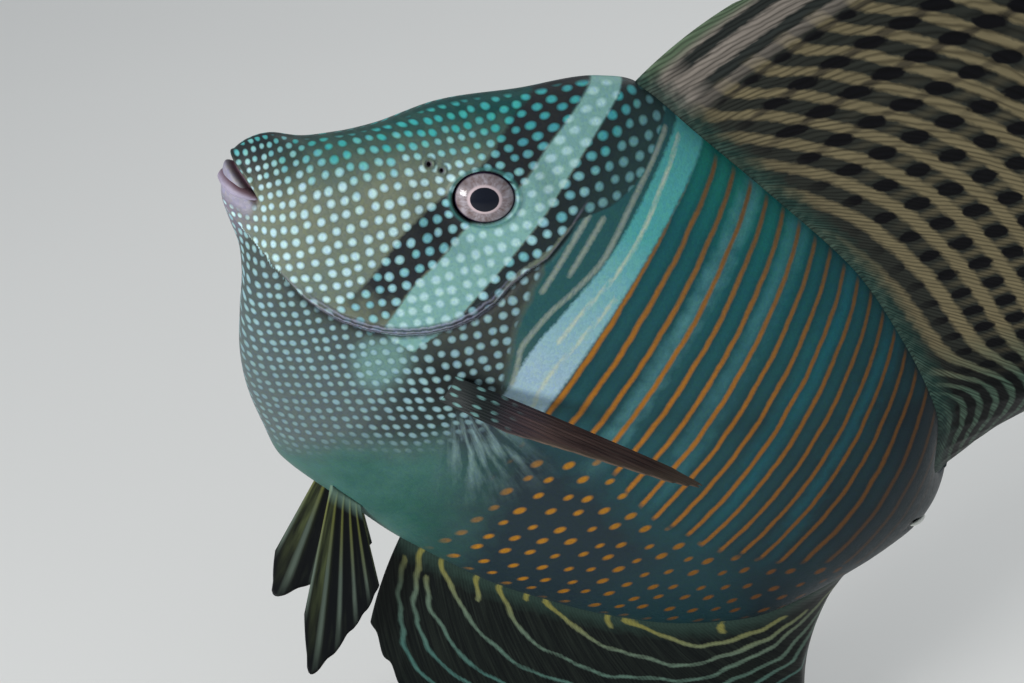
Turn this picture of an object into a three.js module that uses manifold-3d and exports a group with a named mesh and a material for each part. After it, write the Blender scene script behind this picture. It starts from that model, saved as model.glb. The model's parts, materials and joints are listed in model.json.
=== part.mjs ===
// Sailfin tang, a life-size display model on a plain stand.
//
// The fish is drawn straight first, then its tail is turned strongly to the right
// and it is pitched nose up.  In the straight fish frame x runs tailward from the
// snout tip, z is up and the left side faces -y.  In the finished part the origin is the centre
// of the underside of the stand's base, +Z is up, and lengths are millimetres.

import * as THREE from 'three';
import { mergeVertices } from 'three/addons/utils/BufferGeometryUtils.js';
import Module from 'manifold-3d';

const wasm = await Module();
wasm.setup();

const DEGREE = Math.PI / 180;

// Driving dimensions of the whole model
const STANDARD_LENGTH = 250;
const GAP = 0.3;
const NOSE_UP = 34.11 * DEGREE;
const SNOUT_X = -88;
const SNOUT_HEIGHT = 247;

// The middle line seen from above: a slow curve to the left along the trunk, then a tight one to the right
const TRUNK_CURVE = { from: 75, to: 198, turn: -8.5 * DEGREE };
const STEM_CURVE = { from: 198, to: 246, turn: 69 * DEGREE };
// How far the rays carry the curve of their bases tailward, for each millimetre above or below the body
const FIN_CARRY = [[150, 0.4], [200, 0.65], [262, 0.9]];

// Body: outline, widest level and half width along the fish
const SNOUT_TIP = -1.6;
const TRUNK_SECTIONS = 38;
const STEM_SECTIONS = 11;
const SECTION_CROWDING = 1.5;
const ROUND = 36;
const THINNEST_END = 0.1;
const TOP_OUTLINE = [
  [-1.6, 6], [-1, 10.4], [0.6, 13.8], [4.5, 17.5], [11, 20], [19, 25.6], [26.2, 32.4], [35.9, 44.6],
  [51.4, 57.2], [66.9, 70], [76, 73.4], [98.6, 70.3], [128.6, 66], [156.3, 61.4], [184.5, 50.8],
  [206.5, 38.6], [225.7, 20.5], [238, 17.6], [250, 19.5],
];
const LOW_OUTLINE = [
  [-1.6, 6], [-0.6, 2.6], [1.8, -2.2], [6.2, -6.7], [11.8, -11.6], [16.8, -18.5], [22.1, -28.8],
  [28, -39.2], [34.9, -47.6], [43.8, -55.3], [53.7, -62.4], [77.9, -67.8], [97.4, -71.4],
  [125.3, -72.7], [151.3, -69.5], [178.3, -61.7], [203.4, -45.6], [222.8, -21], [232, -11.5],
  [250, -12.5],
];
const HALF_WIDTH = [
  [-1.6, 0], [0, 3.4], [5, 6.4], [12, 9], [25, 13], [45, 17.2], [60, 19.6], [78, 21.2], [100, 21],
  [130, 18.8], [160, 15], [190, 10.6], [215, 7], [235, 4.8], [244, 3.4], [250, 1.4],
];
const WIDEST_LEVEL = [
  [-1.6, 6], [10, 4], [30, 2], [70, -4], [110, -4], [150, -3], [200, 1], [226, 3], [250, 3.5],
];
const RIDGE_AT_HEAD = 0.5;
const RIDGE_AT_BODY = 0.65;
const RIDGE_START = 30;
const RIDGE_LENGTH = 60;

// Lines that part the body
const GILL_EDGE = [
  [77, 110], [75.5, 60], [73.6, 32], [71.5, 20], [68.5, 8], [63, -3.5], [54, -8.5], [42, -11],
  [28, -10.8], [18, -11], [6, -16],
];
const STEM_EDGE = [[214, 60], [207, 20], [206, -5], [212, -60]];
const JAW_EDGE = [[13, 40], [10.2, 12], [9.2, 2.5], [8, -24]];
const MOUTH_LINE = [[-8, 11], [-1.6, 8], [14, 0.8]];

// Gill cover: a raised plate behind and below the eye
const COVER_OUTLINE = [
  [24, -22], [62, -22], [90, 5], [90, 34], [67, 37], [63.5, 25], [55, 20], [44, 10], [30, -1],
];
const COVER_DEPTH = 2.2;
const COVER_RISE = 0.5;

// Eye, its rim and the two nostrils on each side
const EYE_AT = [53.8, 33];
const EYE_RADIUS = 6.4;
const EYE_DOME_RADIUS = 9.5;
const EYE_DEPTH = 3.6;
const EYE_SINK = 0.5;
const RIM_WIDTH = 1.5;
const RIM_RISE = 0.9;
const RIM_ROOT = 3;
const RIM_CROWN = 0.45;
const RIM_FOOT = 0.2;
const SOCKET_CLEARANCE = 8;
const EYE_SIDES = 24;
const DOME_STEPS = 4;
const NOSTRILS = [[38, 33, 0.8], [42, 34.2, 0.6]];
const NOSTRIL_DEPTH = 2;
const NOSTRIL_TAPER = 0.7;
const NOSTRIL_SIDES = 10;

// Lips: two round rolls along the mouth line
const LIP_RADIUS = 1.5;
const LIP_OFFSET = 1.35;
const LIP_STATIONS = [10.5, 6, 2.2, 0];
const LIP_FRONT = -1;
const LIP_SINK = 0.4;
const LIP_STEPS = 14;

// Fins: ray counts, half thicknesses and how far a root is sunk
const MEMBRANE = 0.3;
const RAY_RISE = 0.4;
const SPINE_RISE = 0.8;
const ROOT_HALF = 1.1;
const ROOT_SINK = 3;
const FOOT_SPREAD = 0.3;
const SCALLOP = 0.985;
const ROOT_COLLAR = 4;
const ROOT_CREST = 0.3;
const CREST_TAPER = 0.6;
const EDGE_REACH = 0.3;
const CURL_START = 0.45;
const SWAY_WAVES = 1.5;

const DORSAL = {
  rays: 33,
  spines: 4,
  from: 75.6,
  to: 228,
  length: [
    [0, 30], [0.04, 50], [0.09, 70], [0.2, 96], [0.35, 109], [0.5, 113], [0.65, 107], [0.8, 90],
    [0.9, 70], [1, 42],
  ],
  angle: [[0, 80], [0.17, 72], [0.4, 63], [0.62, 57], [0.8, 52], [1, 45]],
  sweep: 8,
  wave: 2.2,
  curl: 0,
  bands: [0.38, 0.7, 1],
};
const ANAL = {
  rays: 26,
  spines: 3,
  from: 97.5,
  to: 225.5,
  length: [
    [0, 31], [0.05, 43], [0.1, 53], [0.25, 72], [0.45, 81], [0.6, 74], [0.75, 59], [0.88, 40], [1, 20],
  ],
  angle: [[0, -80], [0.2, -65], [0.4, -53], [0.6, -42], [0.8, -30], [1, -24]],
  sweep: -6,
  wave: 1.6,
  curl: 20,
  bands: [0.33, 0.66, 1],
};
const TAIL = {
  rays: 16,
  root: 243,
  low: -11.5,
  high: 18.5,
  spread: 17,
  corner: 71,
  middle: 64,
  rootHalf: 0.9,
  bands: [0.45, 0.72, 1],
};
const PECTORAL = {
  rays: 12,
  base: [[68.7, -10.8], [72.5, -19]],
  leading: [71.5, -17.4, 12],
  spread: [-0.273, -0.91, 0.312],
  fan: 31,
  length: [[0, 66], [0.1, 75], [0.3, 72], [0.6, 56], [0.85, 40], [1, 30]],
  rootHalf: 0.8,
  start: 1,
  bands: [0.16, 0.5, 1],
  pad: [3.6, 2.1, 5.4],
};
const PELVIC = {
  rays: 6,
  base: [[68, -61], [79, -64]],
  length: [[0, 32], [0.2, 47], [0.4, 56], [0.6, 54], [0.8, 46], [1, 35]],
  angle: [[0, -76], [1, -59]],
  splay: 11,
  rightLean: -9,
  rootDepth: 0.8,
  bands: [0.3, 0.65, 1],
};

// Folded spine on each side of the tail stem
const TAIL_SPINE = { x: 232, z: 3.2, length: 13, radius: 1.5, flatness: 0.62, sides: 10, rings: 5 };
const SPINE_ROOM_LENGTH = 4;
const SPINE_ROOM_DEPTH = 0.4;

// Stand
const BASE_LENGTH = 190;
const BASE_WIDTH = 120;
const BASE_HEIGHT = 12;
const BASE_CORNER = 26;
const BASE_BEVEL = 1.5;
const ROD_RADIUS = 3.5;
const ROD_X = 2;
const ROD_Y = 7;
const ROD_TOP = 150;
const FERRULE_RADIUS = 9;
const FERRULE_HEIGHT = 7;
const FERRULE_LIP = 1.6;
const FERRULE_FOOT = 0.35;
const ROD_SIDES = 20;
const FERRULE_SIDES = 24;

// Reach of the blocks that part the body
const FAR = 160;
const HEAD_TOP = 110;
const HEAD_LOW = -16;
const JAW_TOP = 40;
const JAW_LOW = -24;
const STEM_REACH = 60;
const MIDDLE_HALF = 0.5;

// Smooth monotone curve through [position, value] points; warp spreads the positions
function curve(points, warp = (x) => x) {
  const at = points.map((p) => warp(p[0]));
  const value = points.map((p) => p[1]);
  const last = at.length - 1;
  const slope = [];
  for (let i = 0; i < last; i += 1) slope.push((value[i + 1] - value[i]) / (at[i + 1] - at[i]));
  const tangent = value.map((_, i) => {
    if (i === 0) return slope[0];
    if (i === last) return slope[last - 1];
    if (slope[i - 1] * slope[i] <= 0) return 0;
    return (2 * slope[i - 1] * slope[i]) / (slope[i - 1] + slope[i]);
  });
  return (x) => {
    const u = Math.min(Math.max(warp(x), at[0]), at[last]);
    let i = 0;
    while (i < last - 1 && u > at[i + 1]) i += 1;
    const width = at[i + 1] - at[i];
    const t = (u - at[i]) / width;
    const rise = t * t * (3 - 2 * t);
    return value[i] * (1 - rise) + value[i + 1] * rise
      + width * (tangent[i] * t * (1 - t) * (1 - t) - tangent[i + 1] * t * t * (1 - t));
  };
}

const fromTip = (x) => Math.sqrt(Math.max(x - SNOUT_TIP, 0));
const topAt = curve(TOP_OUTLINE, fromTip);
const lowAt = curve(LOW_OUTLINE, fromTip);
const widthAt = curve(HALF_WIDTH, fromTip);
const levelAt = curve(WIDEST_LEVEL, fromTip);

function ridgeAt(x) {
  const t = Math.min(Math.max((x - RIDGE_START) / RIDGE_LENGTH, 0), 1);
  return RIDGE_AT_HEAD + (RIDGE_AT_BODY - RIDGE_AT_HEAD) * t;
}

// Half thickness of the body at a point of its side view
function sideAt(x, z) {
  const level = levelAt(x);
  const reach = z > level ? (z - level) / (topAt(x) - level) : (level - z) / (level - lowAt(x));
  return widthAt(x) * Math.max(1 - reach * reach, 0) ** ridgeAt(x);
}

// Outward direction of the body's left side at a point of its side view
function leftNormal(x, z) {
  const near = 0.5;
  const alongX = (sideAt(x + near, z) - sideAt(x - near, z)) / (2 * near);
  const alongZ = (sideAt(x, z + near) - sideAt(x, z - near)) / (2 * near);
  return new THREE.Vector3(-alongX, -1, -alongZ).normalize();
}

// Solids and meshes
function toSolid(geometry) {
  const bare = geometry.index ? geometry.clone() : geometry;
  for (const name of ['normal', 'uv']) bare.deleteAttribute(name);
  const merged = mergeVertices(bare, 1e-4);
  const vertProperties = new Float32Array(merged.attributes.position.array);
  const triVerts = new Uint32Array(merged.index.array);
  const solid = new wasm.Manifold(new wasm.Mesh({ numProp: 3, vertProperties, triVerts }));
  if (solid.volume() > 0) return solid;
  for (let i = 0; i < triVerts.length; i += 3) {
    [triVerts[i], triVerts[i + 1]] = [triVerts[i + 1], triVerts[i]];
  }
  return new wasm.Manifold(new wasm.Mesh({ numProp: 3, vertProperties, triVerts }));
}

function toGeometry(solid) {
  const mesh = solid.getMesh();
  const geometry = new THREE.BufferGeometry();
  geometry.setAttribute('position', new THREE.BufferAttribute(new Float32Array(mesh.vertProperties), 3));
  geometry.setIndex(new THREE.BufferAttribute(new Uint32Array(mesh.triVerts), 1));
  return geometry;
}

function largest(solid) {
  return solid.decompose().reduce((best, piece) => (piece.volume() > best.volume() ? piece : best));
}

function gridGeometry(vertices, faces) {
  const geometry = new THREE.BufferGeometry();
  const numbers = vertices.flatMap((v) => [v.x, v.y, v.z]);
  geometry.setAttribute('position', new THREE.Float32BufferAttribute(numbers, 3));
  geometry.setIndex(faces.flat());
  return geometry;
}

// Where section i stands: crowded at the snout, and even along the stem
const SECTIONS = TRUNK_SECTIONS + STEM_SECTIONS;

function stationAt(i) {
  const stem = STANDARD_LENGTH - STEM_CURVE.from;
  if (i > TRUNK_SECTIONS) return STEM_CURVE.from + (stem * (i - TRUNK_SECTIONS)) / STEM_SECTIONS;
  return SNOUT_TIP + (STEM_CURVE.from - SNOUT_TIP) * (i / TRUNK_SECTIONS) ** SECTION_CROWDING;
}

// The body's lofted skin, grown outward by a margin
function bodyGeometry(margin) {
  const vertices = [new THREE.Vector3(SNOUT_TIP - margin, 0, TOP_OUTLINE[0][1])];
  const faces = [];
  for (let i = 1; i <= SECTIONS; i += 1) {
    const x = stationAt(i);
    const level = levelAt(x);
    const top = topAt(x) + margin;
    const low = lowAt(x) - margin;
    const width = Math.max(widthAt(x) + margin, THINNEST_END);
    const shift = i === SECTIONS ? margin : 0;
    for (let k = 0; k < ROUND; k += 1) {
      const turn = (2 * Math.PI * (k + 0.5)) / ROUND;
      const across = Math.cos(turn);
      const up = Math.sin(turn);
      const y = Math.sign(across) * width * Math.abs(across) ** (2 * ridgeAt(x));
      const z = level + up * (up > 0 ? top - level : level - low);
      vertices.push(new THREE.Vector3(x + shift, y, z));
    }
  }
  const ring = (i, k) => 1 + (i - 1) * ROUND + (k % ROUND);
  for (let k = 0; k < ROUND; k += 1) faces.push([0, ring(1, k), ring(1, k + 1)]);
  for (let i = 1; i < SECTIONS; i += 1) {
    for (let k = 0; k < ROUND; k += 1) {
      faces.push([ring(i, k), ring(i + 1, k), ring(i + 1, k + 1)]);
      faces.push([ring(i, k), ring(i + 1, k + 1), ring(i, k + 1)]);
    }
  }
  vertices.push(new THREE.Vector3(STANDARD_LENGTH + margin, 0, levelAt(STANDARD_LENGTH)));
  const end = vertices.length - 1;
  for (let k = 0; k < ROUND; k += 1) faces.push([end, ring(SECTIONS, k + 1), ring(SECTIONS, k)]);
  return gridGeometry(vertices, faces);
}

// A side-view outline made a block that runs across the fish
function block(outline, y0 = -FAR / 2, y1 = FAR / 2) {
  const shape = new THREE.Shape(outline.map((p) => new THREE.Vector2(p[0], p[1])));
  const geometry = new THREE.ExtrudeGeometry(shape, { depth: y1 - y0, bevelEnabled: false });
  geometry.rotateX(Math.PI / 2);
  geometry.translate(0, y1, 0);
  return toSolid(geometry);
}

// A line moved sideways by a distance, to the left of its own direction
function moved(line, distance) {
  return line.map((point, i) => {
    const before = line[Math.max(i - 1, 0)];
    const after = line[Math.min(i + 1, line.length - 1)];
    const along = new THREE.Vector2(after[0] - before[0], after[1] - before[1]).normalize();
    return [point[0] - along.y * distance, point[1] + along.x * distance];
  });
}

const headRegion = (margin) => block([...moved(GILL_EDGE, margin), [-FAR, HEAD_LOW], [-FAR, HEAD_TOP]]);
const stemRegion = (margin) => block([
  ...moved(STEM_EDGE, -margin), [2 * FAR, -STEM_REACH], [2 * FAR, STEM_REACH],
]);
const jawRegion = (margin) => block([...moved(JAW_EDGE, margin), [-FAR, JAW_LOW], [-FAR, JAW_TOP]]);
const aboveMouth = (margin) => block([...moved(MOUTH_LINE, margin), [FAR, FAR], [-FAR, FAR]]);
const coverRegion = (margin) => block(moved([...COVER_OUTLINE, COVER_OUTLINE[0]], -margin).slice(0, -1));

// Turns a shape's +Y axis to the body's outward direction at a point of the left side
function onLeftSide(geometry, x, z, sink) {
  const outward = leftNormal(x, z);
  const turn = new THREE.Quaternion().setFromUnitVectors(new THREE.Vector3(0, 1, 0), outward);
  const place = new THREE.Vector3(x, -sideAt(x, z), z).addScaledVector(outward, -sink);
  geometry.applyQuaternion(turn);
  geometry.translate(place.x, place.y, place.z);
  return geometry;
}

function mirrored(solid) {
  return solid.mirror([0, 1, 0]);
}

function both(solid) {
  return solid.add(mirrored(solid));
}

// Eye parts for the left side
function eyeball() {
  const domeRise = EYE_DOME_RADIUS - Math.sqrt(EYE_DOME_RADIUS ** 2 - EYE_RADIUS ** 2);
  const profile = [new THREE.Vector2(0, -EYE_DEPTH), new THREE.Vector2(EYE_RADIUS, -EYE_DEPTH)];
  const widest = Math.asin(EYE_RADIUS / EYE_DOME_RADIUS);
  for (let i = 0; i <= DOME_STEPS; i += 1) {
    const lean = widest * (1 - i / DOME_STEPS);
    const height = domeRise - EYE_DOME_RADIUS * (1 - Math.cos(lean));
    profile.push(new THREE.Vector2(EYE_DOME_RADIUS * Math.sin(lean), height));
  }
  return toSolid(onLeftSide(new THREE.LatheGeometry(profile, EYE_SIDES), ...EYE_AT, EYE_SINK));
}

function eyeSocket() {
  const bottom = -EYE_DEPTH - GAP;
  const height = EYE_DEPTH + GAP + SOCKET_CLEARANCE;
  const geometry = new THREE.CylinderGeometry(EYE_RADIUS + GAP, EYE_RADIUS + GAP, height, EYE_SIDES);
  geometry.translate(0, bottom + height / 2, 0);
  return toSolid(onLeftSide(geometry, ...EYE_AT, EYE_SINK));
}

function eyeRim() {
  const outer = EYE_RADIUS + GAP + RIM_WIDTH;
  const profile = [
    [0, -RIM_ROOT], [outer, -RIM_ROOT], [outer, RIM_RISE * RIM_FOOT],
    [outer - RIM_WIDTH * RIM_CROWN, RIM_RISE], [EYE_RADIUS, RIM_RISE], [0, 0],
  ];
  const geometry = new THREE.LatheGeometry(profile.map((p) => new THREE.Vector2(...p)), EYE_SIDES);
  return toSolid(onLeftSide(geometry, ...EYE_AT, EYE_SINK));
}

function nostril([x, z, radius]) {
  const inner = radius * NOSTRIL_TAPER;
  const geometry = new THREE.CylinderGeometry(radius, inner, NOSTRIL_DEPTH * 2, NOSTRIL_SIDES);
  return toSolid(onLeftSide(geometry, x, z, 0));
}

// A lip is a round roll that runs from one corner of the mouth to the other
function lip(side) {
  const mouth = curve(MOUTH_LINE);
  const left = LIP_STATIONS.map((x) => {
    const z = mouth(x) + side * LIP_OFFSET;
    return new THREE.Vector3(x, LIP_SINK - sideAt(x, z), z);
  });
  const front = new THREE.Vector3(LIP_FRONT, 0, mouth(LIP_FRONT) + side * LIP_OFFSET);
  const right = left.map((p) => new THREE.Vector3(p.x, -p.y, p.z)).reverse();
  const path = new THREE.CatmullRomCurve3([...left, front, ...right]);
  const section = new THREE.Shape();
  section.absarc(0, 0, LIP_RADIUS, 0, 2 * Math.PI);
  const settings = { steps: LIP_STEPS, curveSegments: 4, extrudePath: path };
  return toSolid(new THREE.ExtrudeGeometry(section, settings));
}

// A thin sheet with the same triangles on both faces: columns across the rays, rows along them
function sheet(columns) {
  const rows = columns[0].length;
  const within = (i, count) => Math.min(Math.max(i, 0), count - 1);
  const point = (c, r) => columns[within(c, columns.length)][within(r, rows)];
  const vertices = [];
  for (const face of [1, -1]) {
    for (let c = 0; c < columns.length; c += 1) {
      for (let r = 0; r < rows; r += 1) {
        const across = point(c + 1, r).at.clone().sub(point(c - 1, r).at);
        const along = point(c, r + 1).at.clone().sub(point(c, r - 1).at);
        const normal = across.cross(along).normalize();
        vertices.push(point(c, r).at.clone().addScaledVector(normal, face * point(c, r).half));
      }
    }
  }
  const other = columns.length * rows;
  const id = (c, r) => c * rows + r;
  const faces = [];
  for (let c = 0; c + 1 < columns.length; c += 1) {
    for (let r = 0; r + 1 < rows; r += 1) {
      const [a, b, d, e] = [id(c, r), id(c + 1, r), id(c + 1, r + 1), id(c, r + 1)];
      faces.push([a, b, d], [a, d, e]);
      faces.push([a + other, d + other, b + other], [a + other, e + other, d + other]);
    }
  }
  const rim = [];
  for (let c = 0; c < columns.length; c += 1) rim.push(id(c, 0));
  for (let r = 1; r < rows; r += 1) rim.push(id(columns.length - 1, r));
  for (let c = columns.length - 2; c >= 0; c -= 1) rim.push(id(c, rows - 1));
  for (let r = rows - 2; r > 0; r -= 1) rim.push(id(0, r));
  rim.forEach((a, i) => {
    const b = rim[(i + 1) % rim.length];
    faces.push([a, a + other, b + other], [a, b + other, b]);
  });
  return toSolid(gridGeometry(vertices, faces));
}

// Columns of a rayed fin: each ray is a crest between two feet on the membrane
function rayedColumns({ rays, spines = 0, rootHalf = ROOT_HALF }, distances, place) {
  const columns = [];
  for (let ray = 0; ray < rays; ray += 1) {
    const rise = ray < spines ? SPINE_RISE : RAY_RISE;
    for (const foot of [-1, 0, 1]) {
      const t = Math.min(Math.max((ray + foot * FOOT_SPREAD) / (rays - 1), 0), 1);
      const edge = (ray === 0 && foot < 0) || (ray === rays - 1 && foot > 0);
      const beyond = edge ? foot * EDGE_REACH : 0;
      const column = distances(t).map((distance, row, all) => {
        const outward = row / (all.length - 1);
        const reach = foot === 0 ? distance : distance * (row === all.length - 1 ? SCALLOP : 1);
        const crest = foot === 0 ? rise * (1 - CREST_TAPER * outward) : 0;
        const root = row === 0 ? rootHalf - MEMBRANE : 0;
        const at = place(t, reach);
        at.x += beyond;
        return { at, half: MEMBRANE + crest * (row === 0 ? ROOT_CREST : 1) + root };
      });
      columns.push(column);
    }
  }
  return columns;
}

// Dorsal and anal fins stand in the fish's middle plane on the body's outline
function middleFin(size, outline, up) {
  const length = curve(size.length);
  const angle = curve(size.angle);
  const distances = (t) => [-ROOT_SINK, ROOT_COLLAR, ...size.bands.map((band) => length(t) * band)];
  const place = (t, distance) => {
    const x = size.from + (size.to - size.from) * t;
    const part = Math.max(distance, 0) / length(t);
    const lean = (angle(t) - size.sweep * part) * DEGREE;
    const rear = THREE.MathUtils.smoothstep(t, CURL_START, 1);
    const sway = (size.wave * Math.sin(t * SWAY_WAVES * 2 * Math.PI) + size.curl * rear) * part * part;
    const sink = up * (distance < 0 ? distance : 0);
    const out = Math.max(distance, 0);
    return new THREE.Vector3(x + out * Math.cos(lean), sway, outline(x) + sink + out * Math.sin(lean));
  };
  return sheet(rayedColumns(size, distances, place));
}

function tailFin() {
  const centre = (TAIL.low + TAIL.high) / 2;
  const length = (t) => TAIL.middle + (TAIL.corner - TAIL.middle) * Math.abs(2 * t - 1) ** 2;
  const start = STANDARD_LENGTH - TAIL.root + ROOT_COLLAR;
  const distances = (t) => [0, start, ...TAIL.bands.map((band) => length(t) * band)];
  const place = (t, distance) => {
    const part = 2 * t - 1;
    const lean = TAIL.spread * part * DEGREE;
    const z = centre + part * (TAIL.high - centre);
    return new THREE.Vector3(TAIL.root + distance * Math.cos(lean), 0, z + distance * Math.sin(lean));
  };
  return sheet(rayedColumns(TAIL, distances, place));
}

function pectoralFin() {
  const leading = new THREE.Vector3(...PECTORAL.leading).normalize();
  const spread = new THREE.Vector3(...PECTORAL.spread).normalize();
  const length = curve(PECTORAL.length);
  const [first, last] = PECTORAL.base.map(([x, z]) => new THREE.Vector3(x, -sideAt(x, z), z));
  const distances = (t) => [PECTORAL.start, ...PECTORAL.bands.map((band) => length(t) * band)];
  const place = (t, distance) => {
    const open = PECTORAL.fan * t * DEGREE;
    return first.clone().lerp(last, t)
      .addScaledVector(leading, distance * Math.cos(open))
      .addScaledVector(spread, distance * Math.sin(open));
  };
  const pad = new THREE.SphereGeometry(1, 12, 8);
  pad.scale(...PECTORAL.pad);
  pad.rotateY(-Math.atan2(last.x - first.x, first.z - last.z));
  const middle = first.clone().lerp(last, 0.5);
  pad.translate(middle.x, middle.y, middle.z);
  return sheet(rayedColumns(PECTORAL, distances, place)).add(toSolid(pad));
}

function pelvicFin(extraLean) {
  const length = curve(PELVIC.length);
  const angle = curve(PELVIC.angle);
  const [first, last] = PELVIC.base.map(([x, z]) => new THREE.Vector3(x, PELVIC.rootDepth - sideAt(x, z), z));
  const distances = (t) => [0, ...PELVIC.bands.map((band) => length(t) * band)];
  const splay = PELVIC.splay * DEGREE;
  const place = (t, distance) => {
    const lean = (angle(t) + extraLean * (1 - t)) * DEGREE;
    const out = new THREE.Vector3(
      Math.cos(lean) * Math.cos(splay), -Math.sin(splay), Math.sin(lean) * Math.cos(splay),
    );
    return first.clone().lerp(last, t).addScaledVector(out, distance);
  };
  return sheet(rayedColumns({ ...PELVIC, spines: 1 }, distances, place));
}

function tailSpine(margin) {
  const { x, z, length, radius, flatness, sides, rings } = TAIL_SPINE;
  const geometry = new THREE.ConeGeometry(radius + margin, length + SPINE_ROOM_LENGTH * margin, sides, rings);
  geometry.rotateZ(Math.PI / 2);
  geometry.scale(1, flatness * (1 + margin * SPINE_ROOM_DEPTH), 1);
  geometry.translate(x, -sideAt(x, z), z);
  return toSolid(geometry);
}

// Place and heading of the middle line at a distance along the fish
function middleLine(distance) {
  const place = { x: Math.min(distance, TRUNK_CURVE.from), y: 0, heading: 0 };
  for (const { from, to, turn } of [TRUNK_CURVE, STEM_CURVE]) {
    const run = Math.min(Math.max(distance - from, 0), to - from);
    const radius = (to - from) / turn;
    const heading = place.heading + run / radius;
    place.x += radius * (Math.sin(heading) - Math.sin(place.heading));
    place.y += radius * (Math.cos(place.heading) - Math.cos(heading));
    place.heading = heading;
  }
  const beyond = Math.max(distance - STEM_CURVE.to, 0);
  place.x += beyond * Math.cos(place.heading);
  place.y += beyond * Math.sin(place.heading);
  return place;
}

const carryAt = curve(FIN_CARRY);

// Bends a geometry of the straight fish frame along the middle line
function bent(geometry) {
  const position = geometry.attributes.position;
  for (let i = 0; i < position.count; i += 1) {
    const x = position.getX(i);
    const y = position.getY(i);
    const z = position.getZ(i);
    const clear = Math.max(z - topAt(x), lowAt(x) - z, 0);
    const base = x - clear * carryAt(x);
    const line = middleLine(base);
    const along = x - base;
    position.setX(i, line.x + along * Math.cos(line.heading) - y * Math.sin(line.heading));
    position.setY(i, line.y + along * Math.sin(line.heading) + y * Math.cos(line.heading));
  }
  return geometry;
}

// Stand
function standBase() {
  const shape = new THREE.Shape();
  const x = BASE_LENGTH / 2 - BASE_BEVEL;
  const y = BASE_WIDTH / 2 - BASE_BEVEL;
  const corner = BASE_CORNER - BASE_BEVEL;
  shape.absarc(x - corner, y - corner, corner, 0, Math.PI / 2);
  shape.absarc(corner - x, y - corner, corner, Math.PI / 2, Math.PI);
  shape.absarc(corner - x, corner - y, corner, Math.PI, 1.5 * Math.PI);
  shape.absarc(x - corner, corner - y, corner, 1.5 * Math.PI, 2 * Math.PI);
  const geometry = new THREE.ExtrudeGeometry(shape, {
    depth: BASE_HEIGHT - 2 * BASE_BEVEL,
    curveSegments: 5,
    bevelThickness: BASE_BEVEL,
    bevelSize: BASE_BEVEL,
    bevelSegments: 1,
  });
  geometry.translate(0, 0, BASE_BEVEL);
  return toSolid(geometry);
}

function standRod(posed) {
  const bottom = BASE_HEIGHT + GAP;
  const geometry = new THREE.CylinderGeometry(ROD_RADIUS, ROD_RADIUS, ROD_TOP - bottom, ROD_SIDES);
  geometry.rotateX(Math.PI / 2);
  geometry.translate(ROD_X, ROD_Y, (ROD_TOP + bottom) / 2);
  return largest(toSolid(geometry).subtract(posed));
}

function standFerrule() {
  const inner = ROD_RADIUS + GAP;
  const profile = [
    [inner, 0], [FERRULE_RADIUS, 0], [FERRULE_RADIUS, FERRULE_HEIGHT * FERRULE_FOOT],
    [inner + FERRULE_LIP, FERRULE_HEIGHT], [inner, FERRULE_HEIGHT], [inner, 0],
  ];
  const geometry = new THREE.LatheGeometry(profile.map((p) => new THREE.Vector2(...p)), FERRULE_SIDES);
  geometry.rotateX(Math.PI / 2);
  geometry.translate(ROD_X, ROD_Y, BASE_HEIGHT + GAP);
  return toSolid(geometry);
}

// Whole body, its grown skin for roots and its inner core for the gill covers
const body = toSolid(bodyGeometry(0));
const grown = toSolid(bodyGeometry(GAP));
const raised = toSolid(bodyGeometry(COVER_RISE));
const coreUnderCover = toSolid(bodyGeometry(-COVER_DEPTH));
const coreUnderGap = toSolid(bodyGeometry(-COVER_DEPTH - GAP));

const wholeSide = [[-FAR, -FAR], [2 * FAR, -FAR], [2 * FAR, FAR], [-FAR, FAR]];
const leftHalf = block(wholeSide, -FAR / 2, -MIDDLE_HALF);
const coverLeft = largest(raised.intersect(coverRegion(0)).intersect(headRegion(0)).intersect(leftHalf)
  .subtract(coreUnderCover));
const coverRoom = coverRegion(GAP).subtract(coreUnderGap);

const wholeHead = body.intersect(headRegion(0)).add(both(eyeRim()));
const eyeHoles = both(eyeSocket());
const nostrilHoles = both(NOSTRILS.map(nostril).reduce((all, one) => all.add(one)));
const head = largest(wholeHead.subtract(jawRegion(GAP)).subtract(coverRoom)
  .subtract(eyeHoles).subtract(nostrilHoles));
const jawUpper = largest(body.add(lip(1)).intersect(jawRegion(0)).intersect(aboveMouth(GAP / 2)));
const jawLower = largest(body.add(lip(-1)).intersect(jawRegion(0)).subtract(aboveMouth(-GAP / 2)));

const spineRoom = both(tailSpine(GAP));
const torso = largest(body.subtract(headRegion(GAP)).subtract(stemRegion(GAP)));
const tailStem = largest(body.intersect(stemRegion(0)).subtract(spineRoom));

const pectoralLeft = largest(pectoralFin().subtract(grown));
const pelvicLeft = largest(pelvicFin(0).subtract(grown));
const pelvicRight = mirrored(largest(pelvicFin(PELVIC.rightLean).subtract(grown)));

const fishSolids = {
  head,
  jaw_upper: jawUpper,
  jaw_lower: jawLower,
  gill_cover_left: coverLeft,
  gill_cover_right: mirrored(coverLeft),
  eye_left: eyeball(),
  eye_right: mirrored(eyeball()),
  torso,
  tail_stem: tailStem,
  tail_spine_left: tailSpine(0),
  tail_spine_right: mirrored(tailSpine(0)),
  dorsal_fin: largest(middleFin(DORSAL, topAt, 1).subtract(grown)),
  anal_fin: largest(middleFin(ANAL, lowAt, -1).subtract(grown)),
  tail_fin: largest(tailFin().subtract(grown)),
  pectoral_fin_left: pectoralLeft,
  pectoral_fin_right: mirrored(pectoralLeft),
  pelvic_fin_left: pelvicLeft,
  pelvic_fin_right: pelvicRight,
};

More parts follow.
